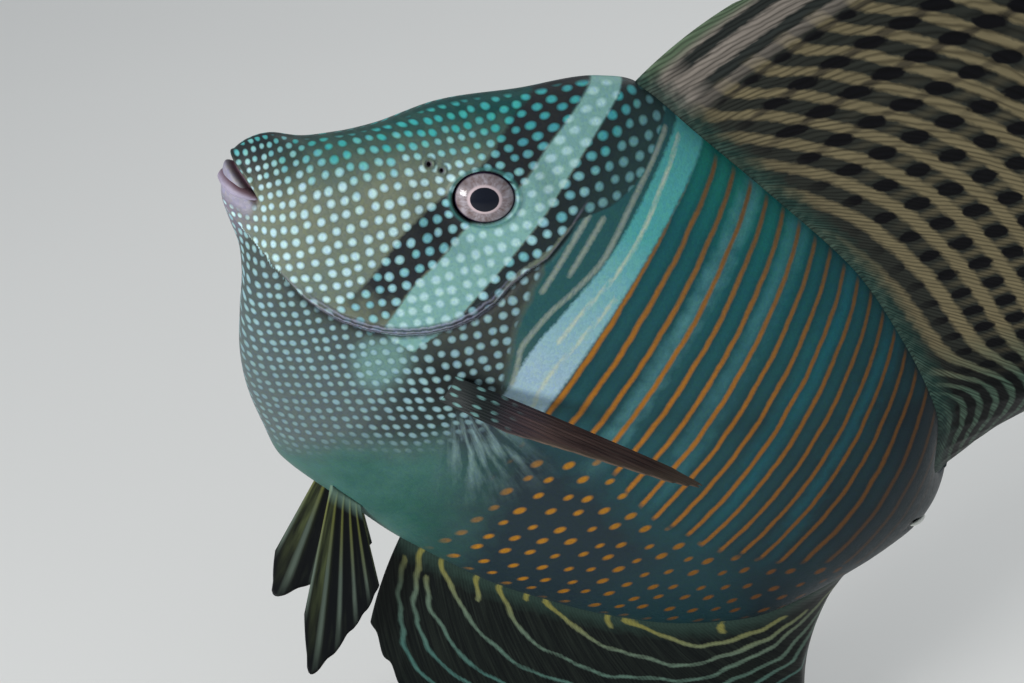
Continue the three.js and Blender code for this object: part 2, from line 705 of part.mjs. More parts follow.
// Colours and finish of each node
const FINISH = {
  head: ['#4f7263', 0.45],
  jaw_upper: ['#566b60', 0.45],
  jaw_lower: ['#a08a9a', 0.4],
  gill_cover: ['#6f9a88', 0.45],
  eye: ['#8f8088', 0.12],
  torso: ['#2c5c5e', 0.45],
  tail_stem: ['#15333a', 0.45],
  tail_spine: ['#cfd3c8', 0.3],
  dorsal_fin: ['#6b6248', 0.5],
  anal_fin: ['#232a22', 0.5],
  tail_fin: ['#20302f', 0.5],
  pectoral_fin: ['#3a2a30', 0.5],
  pelvic_fin: ['#1a221b', 0.5],
  stand_base: ['#2a2624', 0.5],
  stand_rod: ['#b9babb', 0.3, 1],
  stand_ferrule: ['#b9babb', 0.3, 1],
};

function meshOf(name, geometry) {
  const [color, roughness, metalness = 0] = FINISH[name.replace(/_(left|right)$/, '')];
  const mesh = new THREE.Mesh(geometry, new THREE.MeshStandardMaterial({ color, roughness, metalness }));
  mesh.name = name;
  return mesh;
}

const fish = new THREE.Group();
fish.rotation.y = NOSE_UP;
fish.position.set(SNOUT_X, 0, SNOUT_HEIGHT);
for (const [name, solid] of Object.entries(fishSolids)) fish.add(meshOf(name, bent(toGeometry(solid))));

const posedSkin = bent(toGeometry(grown));
posedSkin.rotateY(NOSE_UP);
posedSkin.translate(SNOUT_X, 0, SNOUT_HEIGHT);

const group = new THREE.Group();
group.add(fish);
group.add(meshOf('stand_base', toGeometry(standBase())));
group.add(meshOf('stand_rod', toGeometry(standRod(toSolid(posedSkin)))));
group.add(meshOf('stand_ferrule', toGeometry(standFerrule())));

export default group;
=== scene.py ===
"""Sailfin tang: the looks of a life-size display model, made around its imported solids."""

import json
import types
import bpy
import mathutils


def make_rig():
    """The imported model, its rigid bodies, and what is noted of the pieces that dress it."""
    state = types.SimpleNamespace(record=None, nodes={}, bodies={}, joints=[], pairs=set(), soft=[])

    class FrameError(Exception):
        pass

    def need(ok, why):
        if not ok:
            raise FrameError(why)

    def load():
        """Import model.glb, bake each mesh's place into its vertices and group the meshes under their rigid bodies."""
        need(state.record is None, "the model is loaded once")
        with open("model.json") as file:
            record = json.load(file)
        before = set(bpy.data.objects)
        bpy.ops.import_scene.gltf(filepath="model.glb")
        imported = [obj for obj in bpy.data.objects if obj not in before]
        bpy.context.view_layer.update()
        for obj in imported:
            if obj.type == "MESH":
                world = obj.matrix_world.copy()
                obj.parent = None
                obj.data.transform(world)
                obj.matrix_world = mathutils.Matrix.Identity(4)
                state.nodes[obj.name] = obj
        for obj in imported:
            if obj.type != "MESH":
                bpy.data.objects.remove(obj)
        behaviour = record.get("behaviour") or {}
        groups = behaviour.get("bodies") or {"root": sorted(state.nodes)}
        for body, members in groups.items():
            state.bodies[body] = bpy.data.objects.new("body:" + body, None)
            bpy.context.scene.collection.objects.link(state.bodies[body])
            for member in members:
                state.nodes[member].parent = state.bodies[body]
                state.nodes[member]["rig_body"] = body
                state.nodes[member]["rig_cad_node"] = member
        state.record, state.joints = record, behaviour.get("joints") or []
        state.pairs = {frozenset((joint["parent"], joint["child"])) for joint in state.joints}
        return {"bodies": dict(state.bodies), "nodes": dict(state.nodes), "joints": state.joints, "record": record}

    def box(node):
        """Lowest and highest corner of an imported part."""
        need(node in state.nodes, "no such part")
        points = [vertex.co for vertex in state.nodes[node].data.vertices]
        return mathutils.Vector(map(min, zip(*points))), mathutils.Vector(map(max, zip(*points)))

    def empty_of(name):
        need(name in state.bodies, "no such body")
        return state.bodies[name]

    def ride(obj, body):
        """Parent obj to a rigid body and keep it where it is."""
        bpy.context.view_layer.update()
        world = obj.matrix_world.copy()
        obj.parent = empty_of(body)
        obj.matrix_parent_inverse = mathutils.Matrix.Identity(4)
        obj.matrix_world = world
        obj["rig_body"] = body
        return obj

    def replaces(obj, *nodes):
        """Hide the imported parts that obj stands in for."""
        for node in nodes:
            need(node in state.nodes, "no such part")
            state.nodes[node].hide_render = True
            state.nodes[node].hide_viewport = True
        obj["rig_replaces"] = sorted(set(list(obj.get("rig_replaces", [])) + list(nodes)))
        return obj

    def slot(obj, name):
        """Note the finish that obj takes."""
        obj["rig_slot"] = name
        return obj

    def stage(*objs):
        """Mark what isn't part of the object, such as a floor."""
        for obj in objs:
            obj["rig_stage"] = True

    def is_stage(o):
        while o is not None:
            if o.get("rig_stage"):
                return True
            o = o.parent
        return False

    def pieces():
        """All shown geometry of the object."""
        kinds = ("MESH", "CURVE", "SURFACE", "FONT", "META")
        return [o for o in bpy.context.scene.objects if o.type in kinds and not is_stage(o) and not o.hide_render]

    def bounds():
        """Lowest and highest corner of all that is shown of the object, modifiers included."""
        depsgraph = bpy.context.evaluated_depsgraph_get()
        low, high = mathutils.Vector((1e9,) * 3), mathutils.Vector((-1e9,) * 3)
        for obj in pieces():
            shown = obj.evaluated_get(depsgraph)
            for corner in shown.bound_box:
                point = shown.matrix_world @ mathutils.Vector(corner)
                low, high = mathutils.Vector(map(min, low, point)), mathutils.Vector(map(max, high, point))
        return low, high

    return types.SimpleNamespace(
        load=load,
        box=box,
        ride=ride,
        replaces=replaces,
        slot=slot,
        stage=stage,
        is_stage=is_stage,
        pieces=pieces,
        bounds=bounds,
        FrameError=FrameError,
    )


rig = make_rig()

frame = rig.load()

import json
import math

import bmesh
import bpy
import numpy as np
from bpy.props import FloatProperty, FloatVectorProperty, PointerProperty
from mathutils import Matrix, Vector

bl_info = {
    "name": "Sailfin tang",
    "version": (1, 0, 0),
    "blender": (4, 5, 0),
    "location": "View3D > Sidebar > Tang",
    "description": "Dresses the solids of a sailfin tang with skin, fins, eyes and a stand",
    "category": "Add Mesh",
}

MM = 0.001
CAD_BOX = [list(corner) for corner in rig.bounds()]

# The straight fish, in millimetres: x runs tailward from the snout tip, z is up
# and the left side faces -y.  These values are the ones of the solids.
SNOUT_X = -88
SNOUT_HEIGHT = 247
NOSE_UP = math.radians(34.11)
SNOUT_TIP = -1.6
STANDARD_LENGTH = 250
TRUNK_CURVE = (75, 198, math.radians(-8.5))
STEM_CURVE = (198, 246, math.radians(69))
FIN_CARRY = [(150, 0.4), (200, 0.65), (262, 0.9)]
TOP_OUTLINE = [
    (-1.6, 6), (-1, 10.4), (0.6, 13.8), (4.5, 17.5), (11, 20), (19, 25.6), (26.2, 32.4), (35.9, 44.6),
    (51.4, 57.2), (66.9, 70), (76, 73.4), (98.6, 70.3), (128.6, 66), (156.3, 61.4), (184.5, 50.8),
    (206.5, 38.6), (225.7, 20.5), (238, 17.6), (250, 19.5),
]
LOW_OUTLINE = [
    (-1.6, 6), (-0.6, 2.6), (1.8, -2.2), (6.2, -6.7), (11.8, -11.6), (16.8, -18.5), (22.1, -28.8),
    (28, -39.2), (34.9, -47.6), (43.8, -55.3), (53.7, -62.4), (77.9, -67.8), (97.4, -71.4),
    (125.3, -72.7), (151.3, -69.5), (178.3, -61.7), (203.4, -45.6), (222.8, -21), (232, -11.5),
    (250, -12.5),
]
HALF_WIDTH = [
    (-1.6, 0), (0, 3.4), (5, 6.4), (12, 9), (25, 13), (45, 17.2), (60, 19.6), (78, 21.2), (100, 21),
    (130, 18.8), (160, 15), (190, 10.6), (215, 7), (235, 4.8), (244, 3.4), (250, 1.4),
]
WIDEST_LEVEL = [
    (-1.6, 6), (10, 4), (30, 2), (70, -4), (110, -4), (150, -3), (200, 1), (226, 3), (250, 3.5),
]
RIDGE_AT_HEAD = 0.5
RIDGE_AT_BODY = 0.65
RIDGE_START = 30
RIDGE_LENGTH = 60


def smooth_step(value, low, high):
    t = np.clip((value - low) / (high - low), 0, 1)
    return t * t * (3 - 2 * t)


class Curve:
    """Smooth monotone curve through (place, value) points; warp spreads the places."""

    def __init__(self, points, warp=lambda place: place):
        places, self.value = np.array(points, float).T
        self.warp = warp
        self.at = warp(places)
        slope = np.diff(self.value) / np.diff(self.at)
        before, after = slope[:-1], slope[1:]
        alike = before * after > 0
        total = np.where(alike, before + after, 1)
        inner = np.where(alike, 2 * before * after / total, 0)
        self.tangent = np.concatenate([slope[:1], inner, slope[-1:]])

    def __call__(self, place):
        u = np.clip(self.warp(np.asarray(place, float)), self.at[0], self.at[-1])
        i = np.clip(np.searchsorted(self.at, u) - 1, 0, len(self.at) - 2)
        width = self.at[i + 1] - self.at[i]
        t = (u - self.at[i]) / width
        rise = t * t * (3 - 2 * t)
        bow = self.tangent[i] * t * (1 - t) ** 2 - self.tangent[i + 1] * t * t * (1 - t)
        return self.value[i] * (1 - rise) + self.value[i + 1] * rise + width * bow


def from_tip(x):
    return np.sqrt(np.maximum(x - SNOUT_TIP, 0))


top_at = Curve(TOP_OUTLINE, from_tip)
low_at = Curve(LOW_OUTLINE, from_tip)
width_at = Curve(HALF_WIDTH, from_tip)
level_at = Curve(WIDEST_LEVEL, from_tip)
carry_at = Curve(FIN_CARRY)


def ridge_at(x):
    t = np.clip((x - RIDGE_START) / RIDGE_LENGTH, 0, 1)
    return RIDGE_AT_HEAD + (RIDGE_AT_BODY - RIDGE_AT_HEAD) * t


def side_at(x, z):
    """Half thickness of the body at a point of its side view."""
    level = level_at(x)
    reach = np.where(z > level, (z - level) / (top_at(x) - level), (level - z) / (level - low_at(x)))
    return width_at(x) * np.maximum(1 - reach * reach, 0) ** ridge_at(x)


def middle_line(distance):
    """Place and heading of the fish's middle line at a distance along it."""
    x = np.minimum(distance, TRUNK_CURVE[0])
    y = np.zeros_like(x)
    heading = np.zeros_like(x)
    for start, end, turn in (TRUNK_CURVE, STEM_CURVE):
        radius = (end - start) / turn
        turned = heading + np.clip(distance - start, 0, end - start) / radius
        x = x + radius * (np.sin(turned) - np.sin(heading))
        y = y + radius * (np.cos(heading) - np.cos(turned))
        heading = turned
    beyond = np.maximum(distance - STEM_CURVE[1], 0)
    return x + beyond * np.cos(heading), y + beyond * np.sin(heading), heading


def posed(points):
    """Bends points of the straight fish at the tail, pitches them nose up and gives metres."""
    x, y, z = points.T
    clear = np.maximum(np.maximum(z - top_at(x), low_at(x) - z), 0)
    base = x - clear * carry_at(x)
    line_x, line_y, heading = middle_line(base)
    along = x - base
    bent_x = line_x + along * np.cos(heading) - y * np.sin(heading)
    bent_y = line_y + along * np.sin(heading) + y * np.cos(heading)
    cosine, sine = math.cos(NOSE_UP), math.sin(NOSE_UP)
    world = [SNOUT_X + cosine * bent_x + sine * z, bent_y, SNOUT_HEIGHT - sine * bent_x + cosine * z]
    return np.stack(world, axis=1) * MM


def across(x, z, left, right, low, high):
    """Distance in the side view to a band between two edges, negative inside."""
    edges = np.maximum(Curve(left)(z) - x, x - Curve(right)(z))
    return np.maximum(edges, np.maximum(low - z, z - high))


def beside(x, z, line, low, high):
    """Distance in the side view to an upright line of (height, place) points."""
    gap = np.abs(x - Curve(line)(z))
    return np.hypot(gap, np.maximum(np.maximum(low - z, z - high), 0))


def to_path(x, z, path):
    """Distance to a path in the side view, negative to its left."""
    best = np.full(x.shape, np.inf)
    sign = np.ones(x.shape)
    for (ax, az), (bx, bz) in zip(path, path[1:]):
        dx, dz = bx - ax, bz - az
        t = np.clip(((x - ax) * dx + (z - az) * dz) / (dx * dx + dz * dz), 0, 1)
        off_x, off_z = x - ax - t * dx, z - az - t * dz
        gap = np.hypot(off_x, off_z)
        nearer = gap < best
        best = np.where(nearer, gap, best)
        sign = np.where(nearer, np.where(dx * off_z - dz * off_x > 0, -1, 1), sign)
    return best * sign


# Meshes
def mesh_of(bm, name):
    mesh = bpy.data.meshes.new(name)
    bm.to_mesh(mesh)
    bm.free()
    return mesh


def places_of(mesh):
    co = np.empty(len(mesh.vertices) * 3, np.float32)
    mesh.vertices.foreach_get("co", co)
    return co.reshape(-1, 3).astype(float)


def move_to(mesh, points):
    mesh.vertices.foreach_set("co", np.ascontiguousarray(points, np.float32).ravel())
    mesh.update()


def note(mesh, name, *values):
    """Keeps three numbers for each point of a mesh, for its material to read."""
    layer = mesh.attributes.new(name, "FLOAT_VECTOR", "POINT")
    packed = np.stack([np.broadcast_to(v, values[0].shape) for v in values], axis=1)
    layer.data.foreach_set("vector", np.ascontiguousarray(packed, np.float32).ravel())


def closed(mesh, reach=2e-6):
    """Merges the seams of a mesh and turns its faces outwards."""
    bm = bmesh.new()
    bm.from_mesh(mesh)
    bmesh.ops.remove_doubles(bm, verts=bm.verts, dist=reach)
    bmesh.ops.dissolve_degenerate(bm, edges=bm.edges, dist=reach / 2)
    bmesh.ops.recalc_face_normals(bm, faces=bm.faces)
    for face in bm.faces:
        face.smooth = True
    bm.to_mesh(mesh)
    bm.free()
    return mesh


def set_out(name, mesh, finish, slot, *nodes):
    """Makes a mesh a piece of the fish and says which solids it stands for."""
    piece = bpy.data.objects.new(name, mesh)
    bpy.context.scene.collection.objects.link(piece)
    mesh.materials.append(finish)
    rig.ride(piece, "root")
    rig.slot(piece, slot)
    if nodes:
        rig.replaces(piece, *nodes)
    return piece


# Materials
KEPT_NUMBERS = {
    "place": "x girth z", "form": "up eye mouth", "bars": "front mint rear", "lines": "column tan cream",
    "edges": "gill band depth", "dots": "dot_x dot_y above_end", "margins": "shoulder belly",
    "fan": "t part out", "ray": "phase off_ray crest", "spots": "series row strand",
    "traces": "gap trace_strand", "disc": "disc_x disc_y", "roll": "along around height",
}


def math_node(operation, reflected=False):
    """A Python operator for Wire that adds one Math node."""

    def apply(self, other):
        pair = (other, self) if reflected else (self, other)
        return self.finish.node("Math", dict(enumerate(pair)), operation=operation)

    return apply


class Wire:
    """A shader socket; an expression on it adds the nodes that work it out."""

    __add__ = __radd__ = math_node("ADD")
    __sub__ = math_node("SUBTRACT")
    __rsub__ = math_node("SUBTRACT", reflected=True)
    __mul__ = __rmul__ = math_node("MULTIPLY")
    __truediv__ = math_node("DIVIDE")
    __or__ = math_node("MAXIMUM")
    direction_over = math_node("ARCTAN2")

    def __init__(self, finish, socket):
        self.finish = finish
        self.socket = socket

    def __abs__(self):
        return self.finish.node("Math", {0: self}, operation="ABSOLUTE")

    def __round__(self):
        return self.finish.node("Math", {0: self}, operation="ROUND")

    def fraction(self):
        return self.finish.node("Math", {0: self}, operation="FRACT")

    def wave(self):
        """Goes up to 1 and back to 0 each time the value rises by one."""
        return self.finish.node("Math", {0: self, 1: 0.5}, operation="PINGPONG") * 2

    def step(self, low, high):
        """0 where the value is at low and 1 where it is at high, even between."""
        return self.finish.node("MapRange", {"Value": self, "From Min": low, "From Max": high}, clamp=True)

    def inside(self, soft):
        """1 where a distance is negative and 0 outside, with a soft edge."""
        return self.step(soft, -soft)

    def also(self, name):
        """Another output of the same node."""
        return Wire(self.finish, self.socket.node.outputs[name])

    def parts(self, kind="XYZ"):
        """The three numbers in a vector or a colour."""
        node = self.finish.node("Separate" + kind, {0: self}).socket.node
        return [Wire(self.finish, output) for output in node.outputs]


class Finish:
    """A material under way: its node tree and the few nodes that patterns need."""

    def __init__(self, name, constants):
        self.material = bpy.data.materials.new(name)
        self.material.use_nodes = True
        self.tree = self.material.node_tree
        self.shader = self.tree.nodes["Principled BSDF"]
        self.kept = {}
        for socket, value in constants.items():
            self.shader.inputs[socket].default_value = value

    def node(self, kind, sockets, output=0, **settings):
        """Adds a node with its settings and sockets and gives one of its outputs."""
        node = self.tree.nodes.new("ShaderNode" + kind)
        for name, value in settings.items():
            setattr(node, name, value)
        for key, value in sockets.items():
            self.feed(node.inputs[key], value)
        return Wire(self, node.outputs[output])

    def feed(self, socket, value):
        if isinstance(value, tuple) and any(isinstance(part, Wire) for part in value):
            value = self.point(*value)
        if isinstance(value, Wire):
            self.tree.links.new(value.socket, socket)
        elif socket.type == "RGBA" and len(value) == 3:
            socket.default_value = (*value, 1)
        else:
            socket.default_value = value

    def get(self, names):
        """The named numbers, which the finish has kept already or the mesh keeps."""
        for attribute, kept in KEPT_NUMBERS.items():
            wanted = [name for name in kept.split() if name in names.split() and name not in self.kept]
            if wanted:
                vector = self.node("Attribute", {}, "Vector", attribute_name=attribute)
                self.kept.update(zip(kept.split(), vector.parts()))
        return [self.kept[name] for name in names.split()]

    def object_place(self, *scale):
        """The place on the object in metres, stretched along its axes."""
        place = self.node("TexCoord", {}, "Object")
        return self.node("Mapping", {"Vector": place, "Scale": scale}) if scale else place

    def point(self, x=0, y=0, z=0):
        return self.node("CombineXYZ", {0: x, 1: y, 2: z})

    def length(self, x, y):
        return self.node("VectorMath", {0: (x, y)}, "Value", operation="LENGTH")

    def noise(self, where, scale=1.0, detail=2, swing=2.0):
        """Noise about zero, to about half its swing on either side."""
        return (self.node("TexNoise", {"Vector": where, "Scale": scale, "Detail": detail}) - 0.5) * swing

    def cells(self, where, scale, scatter):
        """Distance to the nearest of scattered cell centres."""
        sockets = {"Vector": where, "Scale": scale, "Randomness": scatter}
        return self.node("TexVoronoi", sockets, voronoi_dimensions="2D")

    def mix(self, first, second, factor, blend="MIX"):
        """The second colour over the first; 6, 7 and 2 are a Mix node's colour sockets."""
        return self.node("Mix", {0: factor, 6: first, 7: second}, 2, data_type="RGBA", blend_type=blend)

    def layers(self, ground, *layers):
        """Paints named colours over a ground, each where its mask is 1."""
        for name, colour, mask in layers:
            ground = self.mix(ground, colour, mask)
            ground.socket.node.label = name
        return ground

    def tint(self, colour, shades, factor):
        return self.mix(colour, shades, factor, "MULTIPLY")

    def shade(self, colour, light, factor):
        return self.tint(colour, (light, light, light), factor)

    def bump(self, height, distance, strength):
        """Raises the surface by a height, counted in steps of a distance in metres."""
        sockets = {"Height": height, "Distance": distance, "Strength": strength}
        self.feed(self.shader.inputs["Normal"], self.node("Bump", sockets))

    def done(self, colour, roughness=None):
        self.feed(self.shader.inputs["Base Color"], colour)
        if roughness is not None:
            self.feed(self.shader.inputs["Roughness"], roughness)
        return self.material


# Skin: features of the head, in the side view of the straight fish
SKIN_SECTIONS = 220
SKIN_ROUND = 132
HEAD_END = 92
EYE_AT = (53.8, 33)
EYE_RADIUS = 6.4
EYE_DOME_RADIUS = 9.5
EYE_BACK = [(EYE_RADIUS, -2.2), (EYE_RADIUS - 0.6, -2.9), (0, -2.9)]
EYE_SINK = 0.9
EYE_UPRIGHT = 0.35
EYE_STRETCH = 1.17
EYE_SLANT = math.radians(26)
NOSTRILS = [(38.3, 32.9, 0.62), (41.6, 33.3, 0.5)]
MOUTH_LINE = [(-8, 10.6), (-1.6, 8), (3.5, 6), (8, 3.8), (14, 1)]
MOUTH_CORNER = 8.6
GILL_FOLD = [
    (77, 46), (76.4, 36), (75.3, 28.2), (72.6, 23), (70.9, 17.5), (70, 12), (67.8, 6), (64, 0.5),
    (60.3, -3.4), (54.5, -7.6), (48, -10.6), (41.2, -12.2), (35, -12.5), (29.9, -12), (25, -10.6), (18, -8.5),
]
GILL_COVER_RISE = 0.75
GILL_COVER_FADE = 9
BROW_SLOPE = 0.2
EYE_SOCKET_DEPTH = 3.4
NOSTRIL_DEPTH = 1.6
SPINE_MIDDLE = 232
SPINE_LEVEL = 3.2
SPINE_SLOT_DEPTH = 0.7
SPINE_START = 225.6
SPINE_LENGTH = 12.8
SPINE_HALF = 1.45
SPINE_FLATNESS = 0.62
SPINE_BOW = 0.5

# Ridges and grooves of the skin: distance from their feature, width and height
GILL_GROOVE = (0.7, 0.9, -0.7)
UPPER_LIP = (0.7, 0.6, 0.35)
MOUTH_GAP = (-1, 0.8, -2.0)
EYE_RIM = (7.3, 0.7, 0.55)
NOSTRIL_RIM = (0.55, 0.35, 0.35)
PECTORAL_PAD = (0, 6.5, 1.3)

# Edges of the pattern, as places along the fish at rising heights
SHOULDER_EDGE = [
    (-14, 90), (-11, 87.8), (-8.3, 85.5), (-2, 83), (2.7, 81), (8.6, 78.4), (15.5, 77), (24, 75.6), (30, 72),
]
FRONT_BAR_LEFT = [(-8, 38), (3, 40.5), (14, 41), (25, 44), (42, 50), (50, 51), (60, 54), (70, 60)]
FRONT_BAR_RIGHT = [(-8, 50), (3, 50), (14, 52), (25, 54), (42, 60), (50, 61), (60, 63), (70, 65)]
MINT_RIGHT = [(-8, 60), (0, 63.5), (10, 65), (20, 66.5), (30, 68), (40, 69), (50, 69.5), (60, 70.5), (70, 72)]
REAR_BAR_RIGHT = [(0, 66), (10, 69), (20, 70), (30, 74), (38, 76), (48, 84), (58, 87), (70, 86)]
BAR_ENDS = (-12, -10, -2)
BAR_TOP = 80
BLUE_BAND_LEFT = [(-8, 87), (5, 86), (20, 88), (40, 90.5), (65, 90)]
TAN_LINES = [
    ([(-5, 87), (0, 85), (5, 83), (15, 84), (25, 87), (35, 89), (50, 88), (68, 87.5)], -6, 68),
    ([(20, 79), (42, 79)], 20, 42), ([(27, 83), (43, 83)], 27, 43),
]
CREAM_LINES = [
    ([(10, 91), (20, 92), (30, 94), (40, 95), (55, 93.5), (68, 92)], 10, 68),
    ([(-10, 96), (0, 94.5), (10, 95.5), (20, 97), (27, 98)], -10, 27),
]

# Edges of the pattern, as points or as heights at places further back
BELLY_EDGE = [
    (20, -70), (44, -61), (55, -53), (60, -45), (66, -40.5), (74, -36.5), (80, -30), (84, -23), (92, -17),
    (104, -13),
]
LINES_END = [
    (96, -10), (102, -10.4), (112, -12.3), (130, -15), (142, -21), (159, -24.7), (174, -24), (193, -20.6),
    (209, -13), (225, -6),
]

# Spacing of the dots and lines, in millimetres
DOT_PITCH = [(-2, 1.7), (6, 1.9), (12, 2.3), (20, 2.85), (30, 3.25), (60, 3.6), (72, 4), (250, 4.1)]
THROAT_DOT_PITCH = [(-2, 2.2), (10, 2.3), (20, 2.5), (50, 2.9), (64, 3.5), (250, 3.9)]
DOT_ROW_PITCH = [(-120, 2.4), (-30, 2.5), (-14, 2.8), (-2, 3.4), (20, 3.7), (60, 4), (120, 4.1)]
DOT_ROW_TILT = 0.785
FIRST_LINE = 101
LINE_PITCH = 7.5
LINE_CROWDING = 0.056
LINE_GAP = 6.9
DOT_ROW_GAP = 6.6

# Pale bands between the lines: place, lean, waver, softness and strength
PALE_BANDS = [
    (122, 0.05, 3, 4.5, 0.95), (144, 0.12, 3, 5, 0.6), (166, 0.12, 3, 6, 0.6), (187, 0.15, 4, 5, 0.45),
]


def skin_shape(u, v):
    """A point of the straight skin: u runs from snout to tail and v round the section."""
    x = SNOUT_TIP + (STANDARD_LENGTH - SNOUT_TIP) * u * u
    turn = 2 * math.pi * v
    side, up = np.cos(turn), np.sin(turn)
    y = np.sign(side) * width_at(x) * np.abs(side) ** (2 * ridge_at(x))
    top, low, level = top_at(x), low_at(x), level_at(x)
    z = level + up * np.where(up > 0, top - level, level - low)
    return np.stack([x, y, z], axis=1)


def outward(shape, u, v, step=1e-3):
    """Unit outward direction of a surface that is given by two parameters."""
    along = shape(np.minimum(u + step, 1), v) - shape(np.maximum(u - step, 0), v)
    around = shape(u, v + step) - shape(u, v - step)
    normal = np.cross(around, along)
    size = np.linalg.norm(normal, axis=1, keepdims=True)
    tip = size[:, 0] < 1e-9
    normal = normal / np.maximum(size, 1e-9)
    normal[tip] = (-1, 0, 0)
    return normal


def column_at(x, z):
    """Number of the orange line at a place of the side view, whole on each line."""
    reach = np.abs(z) / 60
    lean = np.where(z > 0, 0.8, 0.45)
    column = (x - FIRST_LINE) / LINE_PITCH
    for _ in range(4):
        shift = reach ** 1.8 * (2 + lean * np.maximum(column, 0))
        run = np.minimum(x + shift - FIRST_LINE, 250)
        root = np.sqrt(np.maximum(LINE_PITCH ** 2 - 4 * LINE_CROWDING * run, 0.1))
        column = (LINE_PITCH - root) / (2 * LINE_CROWDING)
    return column


def ridge(distance, place, width, height):
    return height * np.exp(-((distance - place) / width) ** 2)


def relief(x, y, z):
    """How far the skin stands out of its plain loft, and the distances that paint it."""
    gill = -to_path(x, z, GILL_FOLD)
    eye_x, eye_z = x - EYE_AT[0], z - EYE_AT[1]
    along_eye = (eye_x * math.cos(EYE_SLANT) + eye_z * math.sin(EYE_SLANT)) / EYE_STRETCH
    over_eye = eye_z * math.cos(EYE_SLANT) - eye_x * math.sin(EYE_SLANT)
    eye = np.sqrt(along_eye ** 2 + (np.abs(y) - side_at(*EYE_AT)) ** 2 + over_eye ** 2)
    mouth = z - Curve(MOUTH_LINE)(x)
    lips = 1 - smooth_step(x, MOUTH_CORNER - 2.5, MOUTH_CORNER + 1)
    fold = smooth_step(x, 18, 30) * (1 - smooth_step(z, 34, 44))
    cover = GILL_COVER_RISE * np.exp(np.minimum(gill, 0) / GILL_COVER_FADE)
    height = fold * (cover * (1 - smooth_step(gill, -0.5, 0.4)) + ridge(gill, *GILL_GROOVE))
    height += lips * (ridge(mouth, *UPPER_LIP) + ridge(mouth, *MOUTH_GAP))
    height += BROW_SLOPE * eye_z * (1 - smooth_step(eye, 8, 17))
    height += ridge(eye, *EYE_RIM) - EYE_SOCKET_DEPTH * (1 - smooth_step(eye, 6.2, 6.8))
    for at_x, at_z, radius in NOSTRILS:
        hole = np.hypot(x - at_x, z - at_z) + np.where(np.abs(y) < 2, 9, 0)
        height += ridge(hole - radius, *NOSTRIL_RIM)
        height -= NOSTRIL_DEPTH * (1 - smooth_step(hole, radius * 0.5, radius))
    height += ridge(np.hypot((x - 70.5) / 1.2, z + 14.5), *PECTORAL_PAD)
    slot = np.hypot(np.maximum(np.abs(x - SPINE_MIDDLE) - 5.5, 0), z - SPINE_LEVEL)
    height -= SPINE_SLOT_DEPTH * (1 - smooth_step(slot, 1.6, 2.6))
    return height, gill, eye, mouth


def counted(places, pitch):
    """How many pitches fit up to each place, where the pitch changes along the way."""
    grid = np.linspace(pitch[0][0], pitch[-1][0], 700)
    number = np.concatenate([[0], np.cumsum(np.diff(grid) / Curve(pitch)(grid[1:]))])
    return np.interp(places, grid, number)


def girth_at(x, up):
    """Distance round the section from its widest level, added to that level."""
    lift = np.arcsin(np.clip(up, -1, 1))[:, None] * np.linspace(0, 1, 25)
    level = level_at(x)
    half = np.where(up > 0, top_at(x) - level, level - low_at(x))
    side = width_at(x)[:, None] * np.cos(lift) ** (2 * ridge_at(x))[:, None]
    steps = np.hypot(np.diff(side, axis=1), np.diff(half[:, None] * np.sin(lift), axis=1))
    return level + np.sign(up) * steps.sum(axis=1)


def cut_finer(x, z):
    """Where the skin gets smaller faces: the head, then its features, then the eye's rim."""
    gill = np.abs(to_path(x, z, GILL_FOLD))
    eye = np.hypot(x - EYE_AT[0], z - EYE_AT[1])
    nostril = np.hypot(x - 40, z - 33.5)
    spine = np.hypot(np.maximum(np.abs(x - SPINE_MIDDLE) - 5, 0), z - SPINE_LEVEL)
    features = ((gill < 3) & (x > 24) & (z < 36)) | (eye < 10) | (nostril < 5) | (spine < 4)
    return x < HEAD_END, features, (np.abs(eye - 7) < 1.6) | (nostril < 4)


def dot_grid(x, z, gill, girth):
    """Places counted in head dots, which stand wider on the forehead and the snout."""
    below_fold = (gill > 0.4) & (z < 30)
    dot_x = np.where(below_fold, counted(x, THROAT_DOT_PITCH), counted(x, DOT_PITCH))
    forehead = smooth_step(girth, 18, 50) * (1 - smooth_step(x, 40, 75))
    snout = 1 - smooth_step(x, 2, 20)
    middle_x, middle_y = counted(48, DOT_PITCH), counted(10, DOT_ROW_PITCH)
    dot_x = middle_x + (dot_x - middle_x) * (1 + 0.18 * forehead)
    dot_y = middle_y + (counted(girth, DOT_ROW_PITCH) - middle_y) * (1 + 0.25 * forehead + 0.6 * snout)
    return dot_x, dot_y


